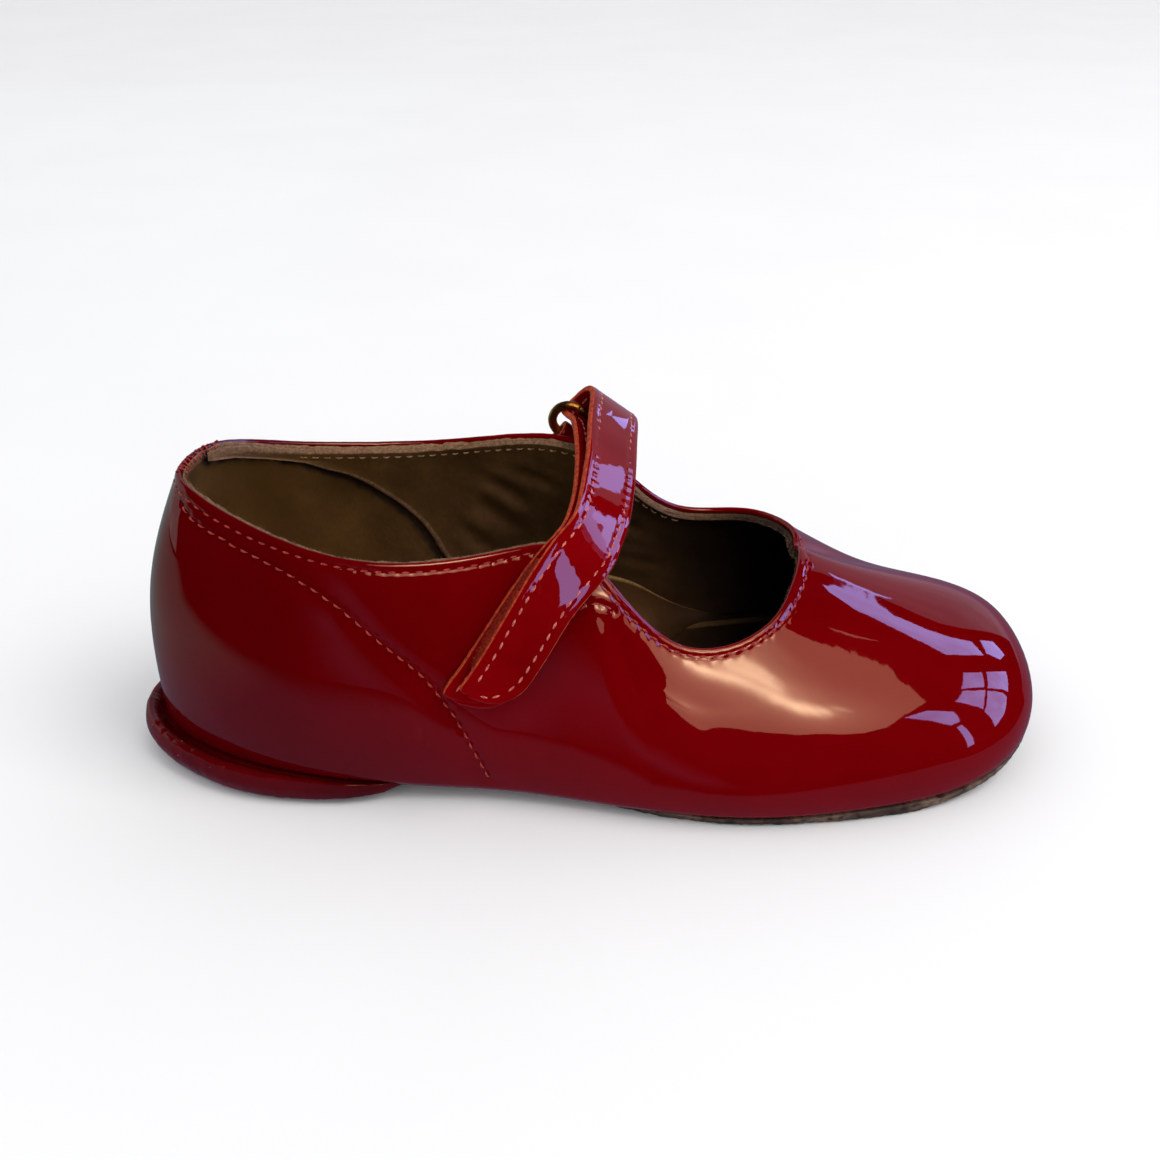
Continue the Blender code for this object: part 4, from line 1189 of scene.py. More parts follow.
# painted shade: darker in the hollows between the pebbles
base = CREPE.mix(CREPE.span(CREPE.mark("cell"), 0.55, 0.95), base, srgb(20, 15, 13))
dusty = CREPE.span(CREPE.noise(0.9, 4, 0.7), 0.60, 0.75)
base = CREPE.mix(CREPE.calc("MULTIPLY", dusty, 0.4), base, srgb(128, 112, 100))
nrm = CREPE.bump(CREPE.cells(0.55), 0.5, 0.12, CREPE.bump(CREPE.noise(0.4, 3, 0.6), 0.5, 0.06))
CREPE.set(Base_Color=base, Roughness=0.82, Specular_IOR_Level=0.3, Normal=nrm)
outsole.data.materials.append(CREPE.mat)
finish_piece(outsole, "sole_rubber", "outsole")

# insole
insole_low = lambda x: feather_z(x) + MARGIN_T + GAP
insole_high = lambda x: feather_z(x) + MARGIN_T + GAP + INSOLE_T


def insole_edge(uu):
    return [side(uu, -INSOLE_INSET - 0.55, insole_high), side(uu, -INSOLE_INSET - 0.16, lambda x: insole_high(x) - 0.10),
            side(uu, -INSOLE_INSET, lambda x: insole_high(x) - 0.45), side(uu, -INSOLE_INSET, insole_low)]


hi = np.linspace(0, 1, 260)
S, nl, nm = slab(insole_edge, insole_high, insole_low, hi * TOE_U, 1 - hi * (1 - TOE_U), 44, lambda e: straight_profile(np.array(e), 3))
top_cols = slice(nl, nl + 43)
x, y = S[:, top_cols, 0], S[:, top_cols, 1]
dish = -0.35 * bell(np.hypot((x - 24) / 15, (y - 0) / 11), 1.0) - 0.25 * bell(np.hypot((x - 118) / 18, (y - 2) / 16), 1.0)
S[:, top_cols, 2] += dish + 0.07 * fbm(S[:, top_cols], 7.0, 3, 81)
rawi = np.zeros(S.shape[:2])
rawi[:, :nl] = 1; rawi[:, nl + 43:nl + 43 + nm] = 1
rawi[:, nl] = 0.8; rawi[:, nl + 42] = 0.8
insole = end_fan("insole_board", S, [INSOLE], marks={"raw": rawi})
finish_piece(insole, "insole_leather", "insole")

# turned up medial edge of the insole, along the arch
WING = [(0.664, 0.075), (0.680, 0.100), (0.693, 0.145), (0.707, 0.215), (0.719, 0.288), (0.738, 0.342), (0.757, 0.370), (0.78, 0.375), (0.80, 0.350),
        (0.82, 0.290), (0.838, 0.200), (0.852, 0.120), (0.868, 0.075)]
wu = np.linspace(WING[0][0], WING[-1][0], 150)
wt = spline([r[0] for r in WING], [r[1] for r in WING], wu)
Pw, Nw = skin_points(wu, wt)
a0 = Pw - Nw * 2.75
Pl, Nl = skin_points(wu, np.full_like(wu, 0.10))
a1 = Pl - Nl * 3.2
pw_plan, pw_head = outline(wu)
reach_in = 3.2 + 6.5 * ease(wt, 0.13, 0.30)
a2 = np.concatenate([pw_plan - pw_head * reach_in[:, None], (insole_high(pw_plan[:, 0]) + 0.10)[:, None]], 1)
kk = np.linspace(0, 1, 26)[:, None, None]
face = (1 - kk) ** 2 * a0 + 2 * kk * (1 - kk) * a1 + kk ** 2 * a2
nf_ = unit(np.cross(np.gradient(face, axis=0), np.gradient(face, axis=1)))
if nf_[5, 70, 2] < 0:
    nf_ = -nf_
face = face + nf_ * (0.08 * fbm(face, 8, 2, 91))[..., None]
thick = (0.55 * (1 - 0.75 * kk[..., 0]))[..., None]
back = face - nf_ * thick
S = np.transpose(np.concatenate([face, back[::-1]], 0), (1, 0, 2))
raww = np.zeros(S.shape[:2]); raww[:, 0] = 1; raww[:, -1] = 1; raww[:, 1] = 0.35
wing = end_caps("insole_arch_edge", S, [INSOLE], {"raw": raww})
finish_piece(wing, "insole_leather")


# heel wedge with its rolled red rim
def u_at(x_goal, lo, hi):
    for _ in range(40):
        m_ = (lo + hi) / 2
        if outline(np.array([m_]))[0][0, 0] < x_goal:
            lo = m_
        else:
            hi = m_
    return (lo + hi) / 2


hw = (np.arange(261) / 260) ** 0.95
wu_lat = hw * u_at(WEDGE_END, 0.03, 0.3)
wu_med = 1 - hw * (1 - u_at(WEDGE_END, 0.97, 0.7))
wedge_low = lambda x: lin(OUTSOLE_TOP, x) + GAP


def wedge_edge(uu):
    p, _ = outline(uu)
    k = lin(RIM, p[:, 0], 1); zu = lin(RIM, p[:, 0], 2)
    zt = f_under(p[:, 0])
    lift = lin(RIM, p[:, 0], 3)
    mid = (zt + zu) / 2 + lift * 0.35
    low = wedge_low(p[:, 0])
    w = lin(WEDGE_INSET, p[:, 0])
    over = np.clip((1.7 + w - lin(OUTSOLE_INSET, p[:, 0])) / 0.4, 0, 1)
    return [side(uu, -1.6 - w, f_under),
            side(uu, 0.05 * k - w, zt - 0.34 * k - 0.05),
            side(uu, 0.85 * k - w, zt - 0.26 * k - 0.05 + lift * 0.42),
            side(uu, 1.8 * k - w, zt + 0.04 * k + lift * 0.86),
            side(uu, 2.7 * k - w, zt + lift * 1.02),
            side(uu, 3.3 * k - w, zt - 0.20 * k + lift * 0.85),
            side(uu, RIM_OUT * k - w, mid + 0.6 * k),
            side(uu, (RIM_OUT - 0.35) * k - w, mid - 0.8 * k),
            side(uu, 2.4 * k - w, zu + 0.40 * k),
            side(uu, 1.1 * k - w, zu),
            side(uu, -0.9 - w, (1 - over) * np.minimum(zu + 0.1, low - 0.02) + over * low),
            side(uu, -1.35 - w, wedge_low)]


def soft_profile(E):
    """Bezier-like smoothing of the rim rings: three rounds of corner cutting."""
    E = np.array(E)
    for _ in range(3):
        mid = [E[0]]
        for a, b in zip(E[:-1], E[1:]):
            mid += [a * 0.75 + b * 0.25, a * 0.25 + b * 0.75]
        mid.append(E[-1])
        E = np.array(mid)
    return E


S, nl, nm = slab(wedge_edge, f_under, wedge_low, wu_lat, wu_med, 10, soft_profile)
N0 = shape_normals(S)
mid = S.mean(1, keepdims=True)
if ((S - mid) * N0).sum() < 0:
    N0 = -N0
ang = np.arctan2(S[..., 1] - 0.5, S[..., 0] - 24)
h = 0.10 * fbm(S, 6.0, 3, 101) + 0.07 * vnoise(np.stack([ang * 16, S[..., 2] * 0.35, 0 * ang], -1), 1.0, 103)
h -= 0.07 * np.clip(vnoise(np.stack([ang * 30, S[..., 2] * 0.5, 0 * ang], -1), 1.0, 107) - 0.35, 0, 1) * 2
mask = np.zeros(S.shape[:2]); mask[:, :nl] = 1; mask[:, nl + 9:nl + 9 + nm] = 1
S = S + N0 * (h * mask)[..., None]
# the last stations taper to the wedge's thin front
wedge = end_fan("heel_wedge_rim", S, [RED_RIM])
finish_piece(wedge, "rim_patent", "heel_wedge")

# ------------------------------------------------------------------ strap, tape, tab
GUIDES = {"L": guide(True), "M": guide(False)}


def across(n_cols, lip=0.0):
    """Shares across a strip, with one narrow column beside each edge when lip is set."""
    if not lip:
        return np.linspace(0, 1, n_cols)
    return np.concatenate([[0.0], np.linspace(lip, 1 - lip, n_cols - 2), [1.0]])


def fine_ribbon(table, n_rows, n_cols, n_raw=15, lip=0.0):
    """Even stations along a strap table and even points across it."""
    pts = ribbon_points(table, n_raw)
    mid = pts[:, n_raw // 2]
    s = np.concatenate([[0], np.cumsum(np.linalg.norm(np.diff(mid, axis=0), axis=1))])
    at = np.linspace(0, s[-1], n_rows)
    Q = spline(s, pts.reshape(len(s), -1), at).reshape(n_rows, n_raw, 3)
    q = np.linspace(0, 1, n_raw)
    Q = np.transpose(spline(q, np.transpose(Q, (1, 0, 2)).reshape(n_raw, -1), across(n_cols, lip)).reshape(n_cols, n_rows, 3), (1, 0, 2))
    rows = [r[0] for r in table]
    return Q, at, s, rows


def ribbon_frame(Q):
    T = unit(np.gradient(Q, axis=0)); A = unit(np.gradient(Q, axis=1))
    return T, A, unit(np.cross(A, T))


def strip_solid(name, Q, thick, mats, relief_up=None, relief_dn=None, lip=0.0, soft=0.10):
    """Strap with slightly domed faces and square, faintly bulged raw edges."""
    nr, nc = Q.shape[:2]
    T, A, N = ribbon_frame(Q)
    width = np.linalg.norm(np.diff(Q, axis=1), axis=2).sum(1)
    q = across(nc, lip)
    near = np.minimum(q, 1 - q)[None, :] * width[:, None]
    half = thick / 2 - soft * np.exp(-(near / 0.45) ** 2)
    up = Q + N * (half + (0 if relief_up is None else relief_up))[..., None]
    dn = Q - N * (half + (0 if relief_dn is None else relief_dn))[..., None]
    ne = 5
    k = np.linspace(0, 1, ne + 2)[1:-1]
    rag = lambda P_, sd: 0.05 * vnoise(P_, 0.7, sd) + 0.05 * vnoise(P_, 2.2, sd + 1)
    right, left = [], []
    for kk in k:
        bulge = 0.10 * math.sin(math.pi * kk)
        a = up[:, -1] * (1 - kk) + dn[:, -1] * kk
        right.append(a + A[:, -1] * (bulge + rag(a, 7))[:, None])
        b = dn[:, 0] * (1 - kk) + up[:, 0] * kk
        left.append(b - A[:, 0] * (bulge + rag(b, 9))[:, None])
    S = np.concatenate([up, np.stack(right, 1), dn[:, ::-1], np.stack(left, 1)], 1)
    fm = np.zeros((nr - 1, S.shape[1]), int)
    fm[:, nc - 1:nc + ne] = 1
    fm[:, 2 * nc + ne - 1:] = 1
    if lip:                                # the raw cut shows a little on the faces of the heel side
        fm[:, 0] = 1
        fm[:, 2 * nc + ne - 2] = 1
    # ends: quads between the two faces
    qd = grid_quads(nr, S.shape[1], ring_c=True)
    capq, n2 = [], S.shape[1]
    for r, rev in ((0, False), (nr - 1, True)):
        i = np.arange(nc - 1)
        c = np.stack([r * n2 + i, r * n2 + 2 * nc + ne - 1 - i, r * n2 + 2 * nc + ne - 2 - i, r * n2 + i + 1], -1)
        capq.append(c[:, ::-1] if rev else c)
    # side strips of the caps: fans over the edge points
    tris = []
    for r, rev in ((0, False), (nr - 1, True)):
        b = r * n2
        fan = [b + nc - 1] + [b + nc + j for j in range(ne)] + [b + nc + ne]
        for j in range(1, len(fan) - 1):
            t = (fan[0], fan[j + 1], fan[j])
            tris.append(t[::-1] if rev else t)
        fan = [b + 2 * nc + ne - 1] + [b + 2 * nc + ne + j for j in range(ne)] + [b]
        for j in range(1, len(fan) - 1):
            t = (fan[0], fan[j + 1], fan[j])
            tris.append(t[::-1] if rev else t)
    quads = np.concatenate([qd] + capq)
    qm = np.concatenate([fm.reshape(-1), np.ones(sum(len(c) for c in capq), int)])
    return new_piece(name, S.reshape(-1, 3), quads, np.array(tris), mats=mats, quad_mat=qm, tri_mat=np.ones(len(tris), int))


NR, NCOL, LIP = 430, 28, 0.021
# the strap swells a little where it is bunched in the ring
FULL = [(r[0], r[1], r[2], r[3], r[4] - (0.55 if r[0] == "in_ring" else 0.0), r[5]) for r in STRAP]
Q, at, s_rows, names = fine_ribbon(FULL, NR, NCOL, lip=LIP)
T_, A_, Nn = ribbon_frame(Q)
width = np.linalg.norm(np.diff(Q, axis=1), axis=2).sum(1)
qq = across(NCOL, LIP)
from_heel = qq[None, :] * width[:, None]
from_toe = (1 - qq)[None, :] * width[:, None]
row_at = {}
for nme, sv in zip([f"{r[0]}" for r in STRAP], s_rows):
    row_at.setdefault(nme, [sv, sv])[1] = sv
S_END = at[-1]
HEEL_IN, TOE_IN, END_IN = 1.75, 1.45, 1.7
ST_PITCH = 2.1
first_top = row_at["fold"][0]
# which face is outside: at the base the outer face looks away from the last
base_out = Nn[20, 13][1] < 0          # lateral side looks to -y
to_end = (S_END - at)[:, None]


def strap_relief():
    h = 0.018 * fbm(Q, 9.0, 2, 121)
    for dd, inn in ((from_heel, HEEL_IN), (from_toe, TOE_IN)):
        h -= 0.055 * bell(dd - inn, 0.36)
        h -= 0.05 * holes(at[:, None] + 0 * dd, ST_PITCH, 0.36) * bell(dd - inn, 0.5)
        h += 0.05 * bell(dd - inn * 0.45, 0.5)
    return h


h_up = strap_relief(); h_dn = strap_relief()
# the outer layer swells softly where it bends over the fastening
outer = ((at > first_top + 2.0) * np.where(Nn[:, 13, 2] > 0, 1.0, -1.0))[:, None]
swell = 0.30 * bell(Q[..., 1] + 0.5, 6.4) * outer * ease(at, first_top + 2.0, first_top + 6.0)[:, None]
h_up = h_up + swell; h_dn = h_dn - swell
strap = strip_solid("strap_patent", Q, STRAP_T, [RED_STRAP, RAW_RED], h_up, h_dn, lip=LIP)
finish_piece(strap, "strap_patent", "strap")

Qt, att, srt, _ = fine_ribbon(TAPE, 90, 15)
hq = 0.10 * vnoise(Qt, 0.9, 131) + 0.06 * vnoise(Qt, 0.4, 133)
tape = strip_solid("hook_loop_tape_core", Qt, 1.0, [FUZZ, FUZZ], hq, hq)
finish_piece(tape, "tape", "hook_loop_tape")

Qb, atb, srb, _ = fine_ribbon(TAB, 220, 21)
wb_ = np.linalg.norm(np.diff(Qb, axis=1), axis=2).sum(1)
qb_ = np.linspace(0, 1, 21)
fh = qb_[None, :] * wb_[:, None]; ft = (1 - qb_)[None, :] * wb_[:, None]
hb = 0.05 * fbm(Qb, 7.0, 2, 141)
for dd in (fh, ft):
    hb -= 0.12 * bell(dd - 1.5, 0.38) + 0.10 * holes(atb[:, None] + 0 * dd, 2.3, 0.45) * bell(dd - 1.5, 0.7)
tab = strip_solid("ring_tab_patent", Qb, STRAP_T, [RED_STRAP, RAW_RED], hb, hb)
finish_piece(tab, "tab_patent", "ring_tab")

# ------------------------------------------------------------------ ring
pa, pb = [], []
for e in np.linspace(math.pi, 2 * math.pi, 41):
    pb.append(RING_B[0] + RING_R * math.sin(e)); pa.append(87.1 + RING_R * math.cos(e))
for q in np.linspace(0, 1, 32)[1:-1]:
    pb.append(RING_B[0] + (RING_B[1] - RING_B[0]) * q); pa.append(87.1 + RING_R)
for e in np.linspace(0, math.pi, 41):
    pb.append(RING_B[1] + RING_R * math.sin(e)); pa.append(87.1 + RING_R * math.cos(e))
for q in np.linspace(1, 0, 32)[1:-1]:
    pb.append(RING_B[0] + (RING_B[1] - RING_B[0]) * q); pa.append(87.1 - RING_R)
pa, pb = np.array(pa), np.array(pb)
lean = (BAR_HIGH[1] - BAR_LOW[1]) / (BAR_HIGH[0] - BAR_LOW[0])
path = np.stack([0.6 * pa + 0.8 * pb, BAR_LOW[1] + (pa - BAR_LOW[0]) * lean, 0.8 * pa - 0.6 * pb], 1)
tan = unit(np.roll(path, -1, 0) - np.roll(path, 1, 0))
flat = unit(np.cross(path[30] - path[0], path[75] - path[0]))
side_v = np.cross(tan, flat)
ang = np.arange(18) * 2 * math.pi / 18
wire = path[:, None, :] + WIRE_R * (np.cos(ang)[None, :, None] * side_v[:, None, :] + np.sin(ang)[None, :, None] * flat[None, None, :])
wire += (wire - path[:, None, :]) * (0.05 * vnoise(wire, 1.6, 151) + 0.02 * vnoise(wire, 0.5, 153))[..., None]
BRASS = Paint("antique_brass")
tone = BRASS.noise(2.2, 4, 0.6)
bcol = BRASS.ramp(tone, [(0.32, srgb(72, 52, 24)), (0.50, srgb(148, 122, 62)), (0.70, srgb(206, 184, 112))])
BRASS.set(Base_Color=bcol, Metallic=1.0, Roughness=BRASS.span(tone, 0.35, 0.65, 0.42, 0.22),
          Normal=BRASS.bump(BRASS.noise(0.8, 3, 0.6), 0.25, 0.05))
ring = new_piece("ring_brass", wire.reshape(-1, 3), grid_quads(len(path), 18, True, True), mats=[BRASS.mat])
finish_piece(ring, "ring_brass", "ring")


# ------------------------------------------------------------------ stitches
class Stitches:
    """Two plies twisted round each other, sunk at both ends."""

    def __init__(self, name, radius=0.118, mats=None):
        self.name, self.r, self.V, self.F, self.mats = name, radius, [], [], mats or [THREAD]
        self.count = 0

    def add(self, p0, p1, n, lift=0.10, sink=0.28, sections=9, sides=6, turn=0.55):
        p0, p1, n = np.asarray(p0, float), np.asarray(p1, float), unit(n)
        t = unit(p1 - p0); sv = np.cross(n, t)
        L = np.linalg.norm(p1 - p0)
        k = np.linspace(0, 1, sections)
        a = np.arange(sides) * 2 * math.pi / sides
        jit = RNG.uniform(-0.3, 0.3)
        for ply in (0, 1):
            ph = math.pi * ply + jit + (k - 0.5) * 2 * math.pi * turn
            z = lift - (lift + sink) * np.abs(2 * k - 1) ** 3.2
            off = 0.52 * self.r * (1 - 0.5 * np.abs(2 * k - 1) ** 3)
            c = p0 + (p1 - p0) * k[:, None] + n * (z + off * np.sin(ph))[:, None] + sv * (off * np.cos(ph) * 1.35)[:, None]
            rr = self.r * 0.78 * np.sqrt(np.clip(1 - np.abs(2 * k - 1) ** 4, 0.10, 1))
            tt = unit(np.gradient(c, axis=0))
            e1 = unit(np.cross(tt, n)); e2 = np.cross(e1, tt)
            ringp = c[:, None, :] + rr[:, None, None] * (np.cos(a)[None, :, None] * e1[:, None, :] + np.sin(a)[None, :, None] * e2[:, None, :])
            b = self.count
            self.V.append(ringp.reshape(-1, 3)); self.V.append(c[[0, -1]])
            for i in range(sections - 1):
                for j in range(sides):
                    q = (b + i * sides + j, b + i * sides + (j + 1) % sides, b + (i + 1) * sides + (j + 1) % sides, b + (i + 1) * sides + j)
                    self.F.append((q[0], q[1], q[2])); self.F.append((q[0], q[2], q[3]))
            e0, e9 = b + sections * sides, b + sections * sides + 1
            for j in range(sides):
                self.F.append((e0, b + (j + 1) % sides, b + j))
                m_ = b + (sections - 1) * sides
                self.F.append((e9, m_ + j, m_ + (j + 1) % sides))
            self.count += sections * sides + 2

    def along(self, P_, N_, pitch, fill=0.60, lift=0.10, phase=0.0, skip=0.0):
        """A row of stitches along a polyline with normals."""
        s = np.concatenate([[0], np.cumsum(np.linalg.norm(np.diff(P_, axis=0), axis=1))])
        n = max(1, int((s[-1] - phase) / pitch))
        for i in range(n):
            a = phase + (i + 0.5 - fill / 2) * pitch; b = phase + (i + 0.5 + fill / 2) * pitch
            if b > s[-1] or RNG.random() < skip:
                continue
            pa_ = np.array([np.interp(a, s, P_[:, j]) for j in range(3)])
            pb_ = np.array([np.interp(b, s, P_[:, j]) for j in range(3)])
            nn = np.array([np.interp((a + b) / 2, s, N_[:, j]) for j in range(3)])
            wob = RNG.uniform(-0.06, 0.06)
            sv = np.cross(unit(nn), unit(pb_ - pa_))
            self.add(pa_ + sv * wob, pb_ + sv * (wob + RNG.uniform(-0.12, 0.12)), nn, lift)

    def build(self, slot):
        V = np.concatenate(self.V)
        ob = new_piece(self.name, V, np.zeros((0, 4)), np.array(self.F), mats=self.mats, flip=False)
        return finish_piece(ob, slot)


# edge row round the whole top line
st = Stitches("edge_stitches")
gl = closed_lin(EDGE_ROW, U)
Trow = t_for(DROP, gl[:, None])
Prow = wall_T(U, Trow)[:, 0]; Nrow = normal_T(U, Trow)[:, 0]
Prow = Prow - Nrow * 0.10
ss = np.concatenate([S_TOP, [TOTAL]])
Pc_ = np.concatenate([Prow, Prow[:1]]); Nc_ = np.concatenate([Nrow, Nrow[:1]])


def at_s(s):
    s = s % TOTAL
    return (np.array([np.interp(s, ss, Pc_[:, j]) for j in range(3)]), unit(np.array([np.interp(s, ss, Nc_[:, j]) for j in range(3)])))


for i in range(N_ST):
    a, _ = at_s((i + 0.5 - 0.31) * PITCH); b, _ = at_s((i + 0.5 + 0.31) * PITCH); _, nn = at_s((i + 0.5) * PITCH)
    st.add(a, b, nn, lift=0.07)
st.build("upper_patent")
st = Stitches("lining_stitches", mats=[THREAD_LINEN])
for i in range(N_ST):                     # needle side of the row seen on the lining
    s_mid = (i + 0.5) * PITCH
    u_mid = np.interp(s_mid, ss, np.concatenate([U, [1.0]]))
    if not (0.085 < u_mid < 0.30 or 0.66 < u_mid < 0.917):
        continue
    a, na = at_s((i + 0.5 - 0.30) * PITCH); b, nb = at_s((i + 0.5 + 0.30) * PITCH); _, nn = at_s(s_mid)
    dn = np.array([0, 0, -0.35])
    st.add(a - na * 2.30 + dn, b - nb * 2.30 + dn, -nn, lift=0.05)
st.build("insole_leather")

st = Stitches("counter_stitches")
st.along(COUNTER_L[0][8:], COUNTER_L[1][8:], SEAM_PITCH, lift=0.05)
st.along(COUNTER_M[0][8:], COUNTER_M[1][8:], SEAM_PITCH, lift=0.05)
st.along(SEAM_S[0], SEAM_S[1], 2.2, lift=0.05)
st.build("upper_patent")

# bar tack over the centre back: short stitches that cross the rolled edge
st = Stitches("back_tack", radius=0.13)
for k in range(19):
    uu = np.array([(-0.036 + 0.0026 * k + RNG.uniform(-0.001, 0.001)) % 1.0])
    Du = top_drop(uu)
    low = 1.5 + 0.4 * math.sin(k * 2.1) if k % 3 else 0.5
    lo_t = t_for(Du, np.array([[low]]))
    p_lo = wall_T(uu, lo_t)[0, 0]; n_lo = normal_T(uu, lo_t)[0, 0]
    p_hi = wall_T(uu, np.ones((1, 1)))[0, 0] + np.array([0, 0, 0.36]) - n_lo * (0.35 + 0.5 * RNG.random())
    slant = unit(np.cross(n_lo, np.array([0, 0, 1.0]))) * RNG.uniform(-0.6, 0.6)
    st.add(p_lo - n_lo * 0.05, p_hi + slant, unit(n_lo + np.array([0, 0, 0.8])), lift=0.16, sink=0.12, turn=0.8)
    if k % 2:
        p_in = p_hi - n_lo * 1.1 + np.array([0, 0, -0.9])
        st.add(p_hi + slant * 0.5, p_in, unit(np.array([0, 0, 1.0]) - n_lo * 0.6), lift=0.15, sink=0.12, turn=0.8)
st.build("upper_patent")

# strap rows
st = Stitches("strap_stitches", radius=0.125, mats=[THREAD_ROSE_HIGHLIT])


def strap_line(dd_from_heel, i0, i1, up):
    """Centre points and normals of a stitch row on one face of the strap."""
    P_, N_ = [], []
    for i in range(i0, i1):
        q = np.interp(np.clip(dd_from_heel(i) / width[i], 0, 1), qq, np.arange(NCOL))
        j = int(min(q, NCOL - 2)); f = q - j
        p = Q[i, j] * (1 - f) + Q[i, j + 1] * f
        n = unit(Nn[i, j] * (1 - f) + Nn[i, j + 1] * f)
        P_.append(p + (n if up else -n) * (STRAP_T / 2 - 0.12)); N_.append(n if up else -n)
    return np.array(P_), np.array(N_)


idx = lambda s: int(np.clip(np.searchsorted(at, s), 0, NR - 1))
e_row = idx(S_END - 4.6)
for up in (True, False):
    P_, N_ = strap_line(lambda i: HEEL_IN, idx(1.5), NR - idx(2.0), up)
    st.along(P_, N_, ST_PITCH, fill=0.80, lift=0.08, phase=ST_PITCH * 0.0)
    P_, N_ = strap_line(lambda i: width[i] - TOE_IN, idx(3.0), e_row, up)
    st.along(P_, N_, ST_PITCH, fill=0.80, lift=0.08)
# round the free end, on both faces: from the toe side row across to the heel side
ends = []
for i in range(e_row, NR):
    d_end = S_END - at[i]
    if d_end < END_IN:
        break
    ends.append(i)
for up in (True, False):
    P_, N_ = strap_line(lambda i: width[i] - TOE_IN, e_row, ends[-1], up)
    i = ends[-1]
    kq_ = np.linspace(width[i] - TOE_IN, HEEL_IN, 12)
    P2, N2 = [], []
    for v in kq_:
        a_, b_ = strap_line(lambda _: v, i, i + 1, up)
        P2.append(a_[0]); N2.append(b_[0])
    st.along(np.concatenate([P_, np.array(P2)]), np.concatenate([N_, np.array(N2)]), ST_PITCH, fill=0.80, lift=0.08)
st.build("strap_patent")

# box stitch on the outside of the medial tab
st = Stitches("tab_stitches")
Tb, Ab, Nb = ribbon_frame(Qb)
outside_up = Nb[200, 10][1] > 0


def tab_line(dh, i0, i1):
    P_, N_ = [], []
    for i in np.arange(i0, i1, 1 if i1 > i0 else -1):
        q = np.clip(dh / wb_[i], 0, 1) * 20
        j = int(min(q, 19)); f = q - j
        p = Qb[i, j] * (1 - f) + Qb[i, j + 1] * f
        n = unit(Nb[i, j]) * (1 if outside_up else -1)
        P_.append(p + n * (STRAP_T / 2 - 0.12)); N_.append(n)
    return np.array(P_), np.array(N_)


i_end = 214
i_top = int(np.searchsorted(atb, srb[10]))
for dh in (1.5, wb_[i_end] - 1.5):
    P_, N_ = tab_line(dh, i_top - 12, i_end)
    st.along(P_, N_, 2.3, lift=0.06)
for i_ in (i_end - 2, i_top + 6):
    P2, N2 = [], []
    for v in np.linspace(1.5, wb_[i_] - 1.5, 14):
        a_, b_ = tab_line(v, i_, i_ + 1)
        P2.append(a_[0]); N2.append(b_[0])
    st.along(np.array(P2), np.array(N2), 2.2, lift=0.06)
st.build("tab_patent")


# ------------------------------------------------------------------ loose fibres
def fibres(name, roots, dirs, length, radius, mat, slot, bend=0.5):
    """Thin three sided spikes, each a closed solid bent once."""
    V, F = [], []
    for i, (p, d) in enumerate(zip(roots, dirs)):
        d = unit(d + RNG.normal(0, 0.55, 3)); L = length * RNG.uniform(0.35, 1.25)
        s_ = unit(np.cross(d, RNG.normal(0, 1, 3))); w_ = np.cross(d, s_)
        m_ = p + d * L * 0.5
        tip = p + d * L + s_ * bend * L * RNG.uniform(0.1, 0.9)
        r = radius * RNG.uniform(0.7, 1.3)
        b = len(V) * 7
        tri0 = [p + r * (math.cos(a) * s_ + math.sin(a) * w_) for a in (0, 2.094, 4.189)]
        tri1 = [m_ + 0.75 * r * (math.cos(a) * s_ + math.sin(a) * w_) for a in (0, 2.094, 4.189)]
        V.append(np.array(tri0 + tri1 + [tip]))
        F += [(b, b + 2, b + 1)]
        for j in range(3):
            k_ = (j + 1) % 3
            F += [(b + j, b + k_, b + 3 + k_), (b + j, b + 3 + k_, b + 3 + j), (b + 3 + j, b + 3 + k_, b + 6)]
    ob = new_piece(name, np.concatenate(V), np.zeros((0, 4)), np.array(F), mats=[mat], flip=False, smooth=False)
    return finish_piece(ob, slot)


# fuzz along the raw top of the lining
n_f = 6500
uf = RNG.uniform(0, 1, n_f)
Df = top_drop(uf)
wf_ = closed_lin(GAP_HEEL, uf) + 0.2 + RNG.uniform(-0.10, 0.9, n_f) * closed_lin(BEVEL, uf)
Pf_ = wall_T(uf, t_for(Df, wf_[:, None]))[:, 0]; Nf_ = normal_T(uf, t_for(Df, wf_[:, None]))[:, 0]
ins = np.where((uf > 0.03) & (uf < 0.97), RNG.uniform(1.2, 2.3, n_f), RNG.uniform(1.2, 1.7, n_f))
fibres("lining_fuzz", Pf_ - Nf_ * ins[:, None], np.array([0, 0, 0.9]) - Nf_ * 0.5, 0.42, 0.026, RAW_TAN, "insole_leather")

# loop pile of the fastening along its heel side edge
n_h = 1500
ih = RNG.integers(2, 88, n_h)
roots = Qt[ih, 0] + RNG.normal(0, 0.12, (n_h, 3))
Tt_, At_, Nt_ = ribbon_frame(Qt)
fibres("fastener_pile", roots + Nt_[ih, 0] * RNG.uniform(-0.6, 0.6, n_h)[:, None], -At_[ih, 0], 0.75, 0.035, FUZZ, "tape", bend=0.8)
# frayed fibres on the raw strap edges
n_e = 900
ie = RNG.integers(5, NR - 5, n_e); sd = RNG.random(n_e) < 0.5
roots = np.where(sd[:, None], Q[ie, 0], Q[ie, -1]) + Nn[ie, 13] * RNG.uniform(-0.5, 0.5, n_e)[:, None]
fibres("strap_edge_fibres", roots, np.where(sd[:, None], -A_[ie, 0], A_[ie, -1]), 0.22, 0.022, RAW_RED, "strap_patent")


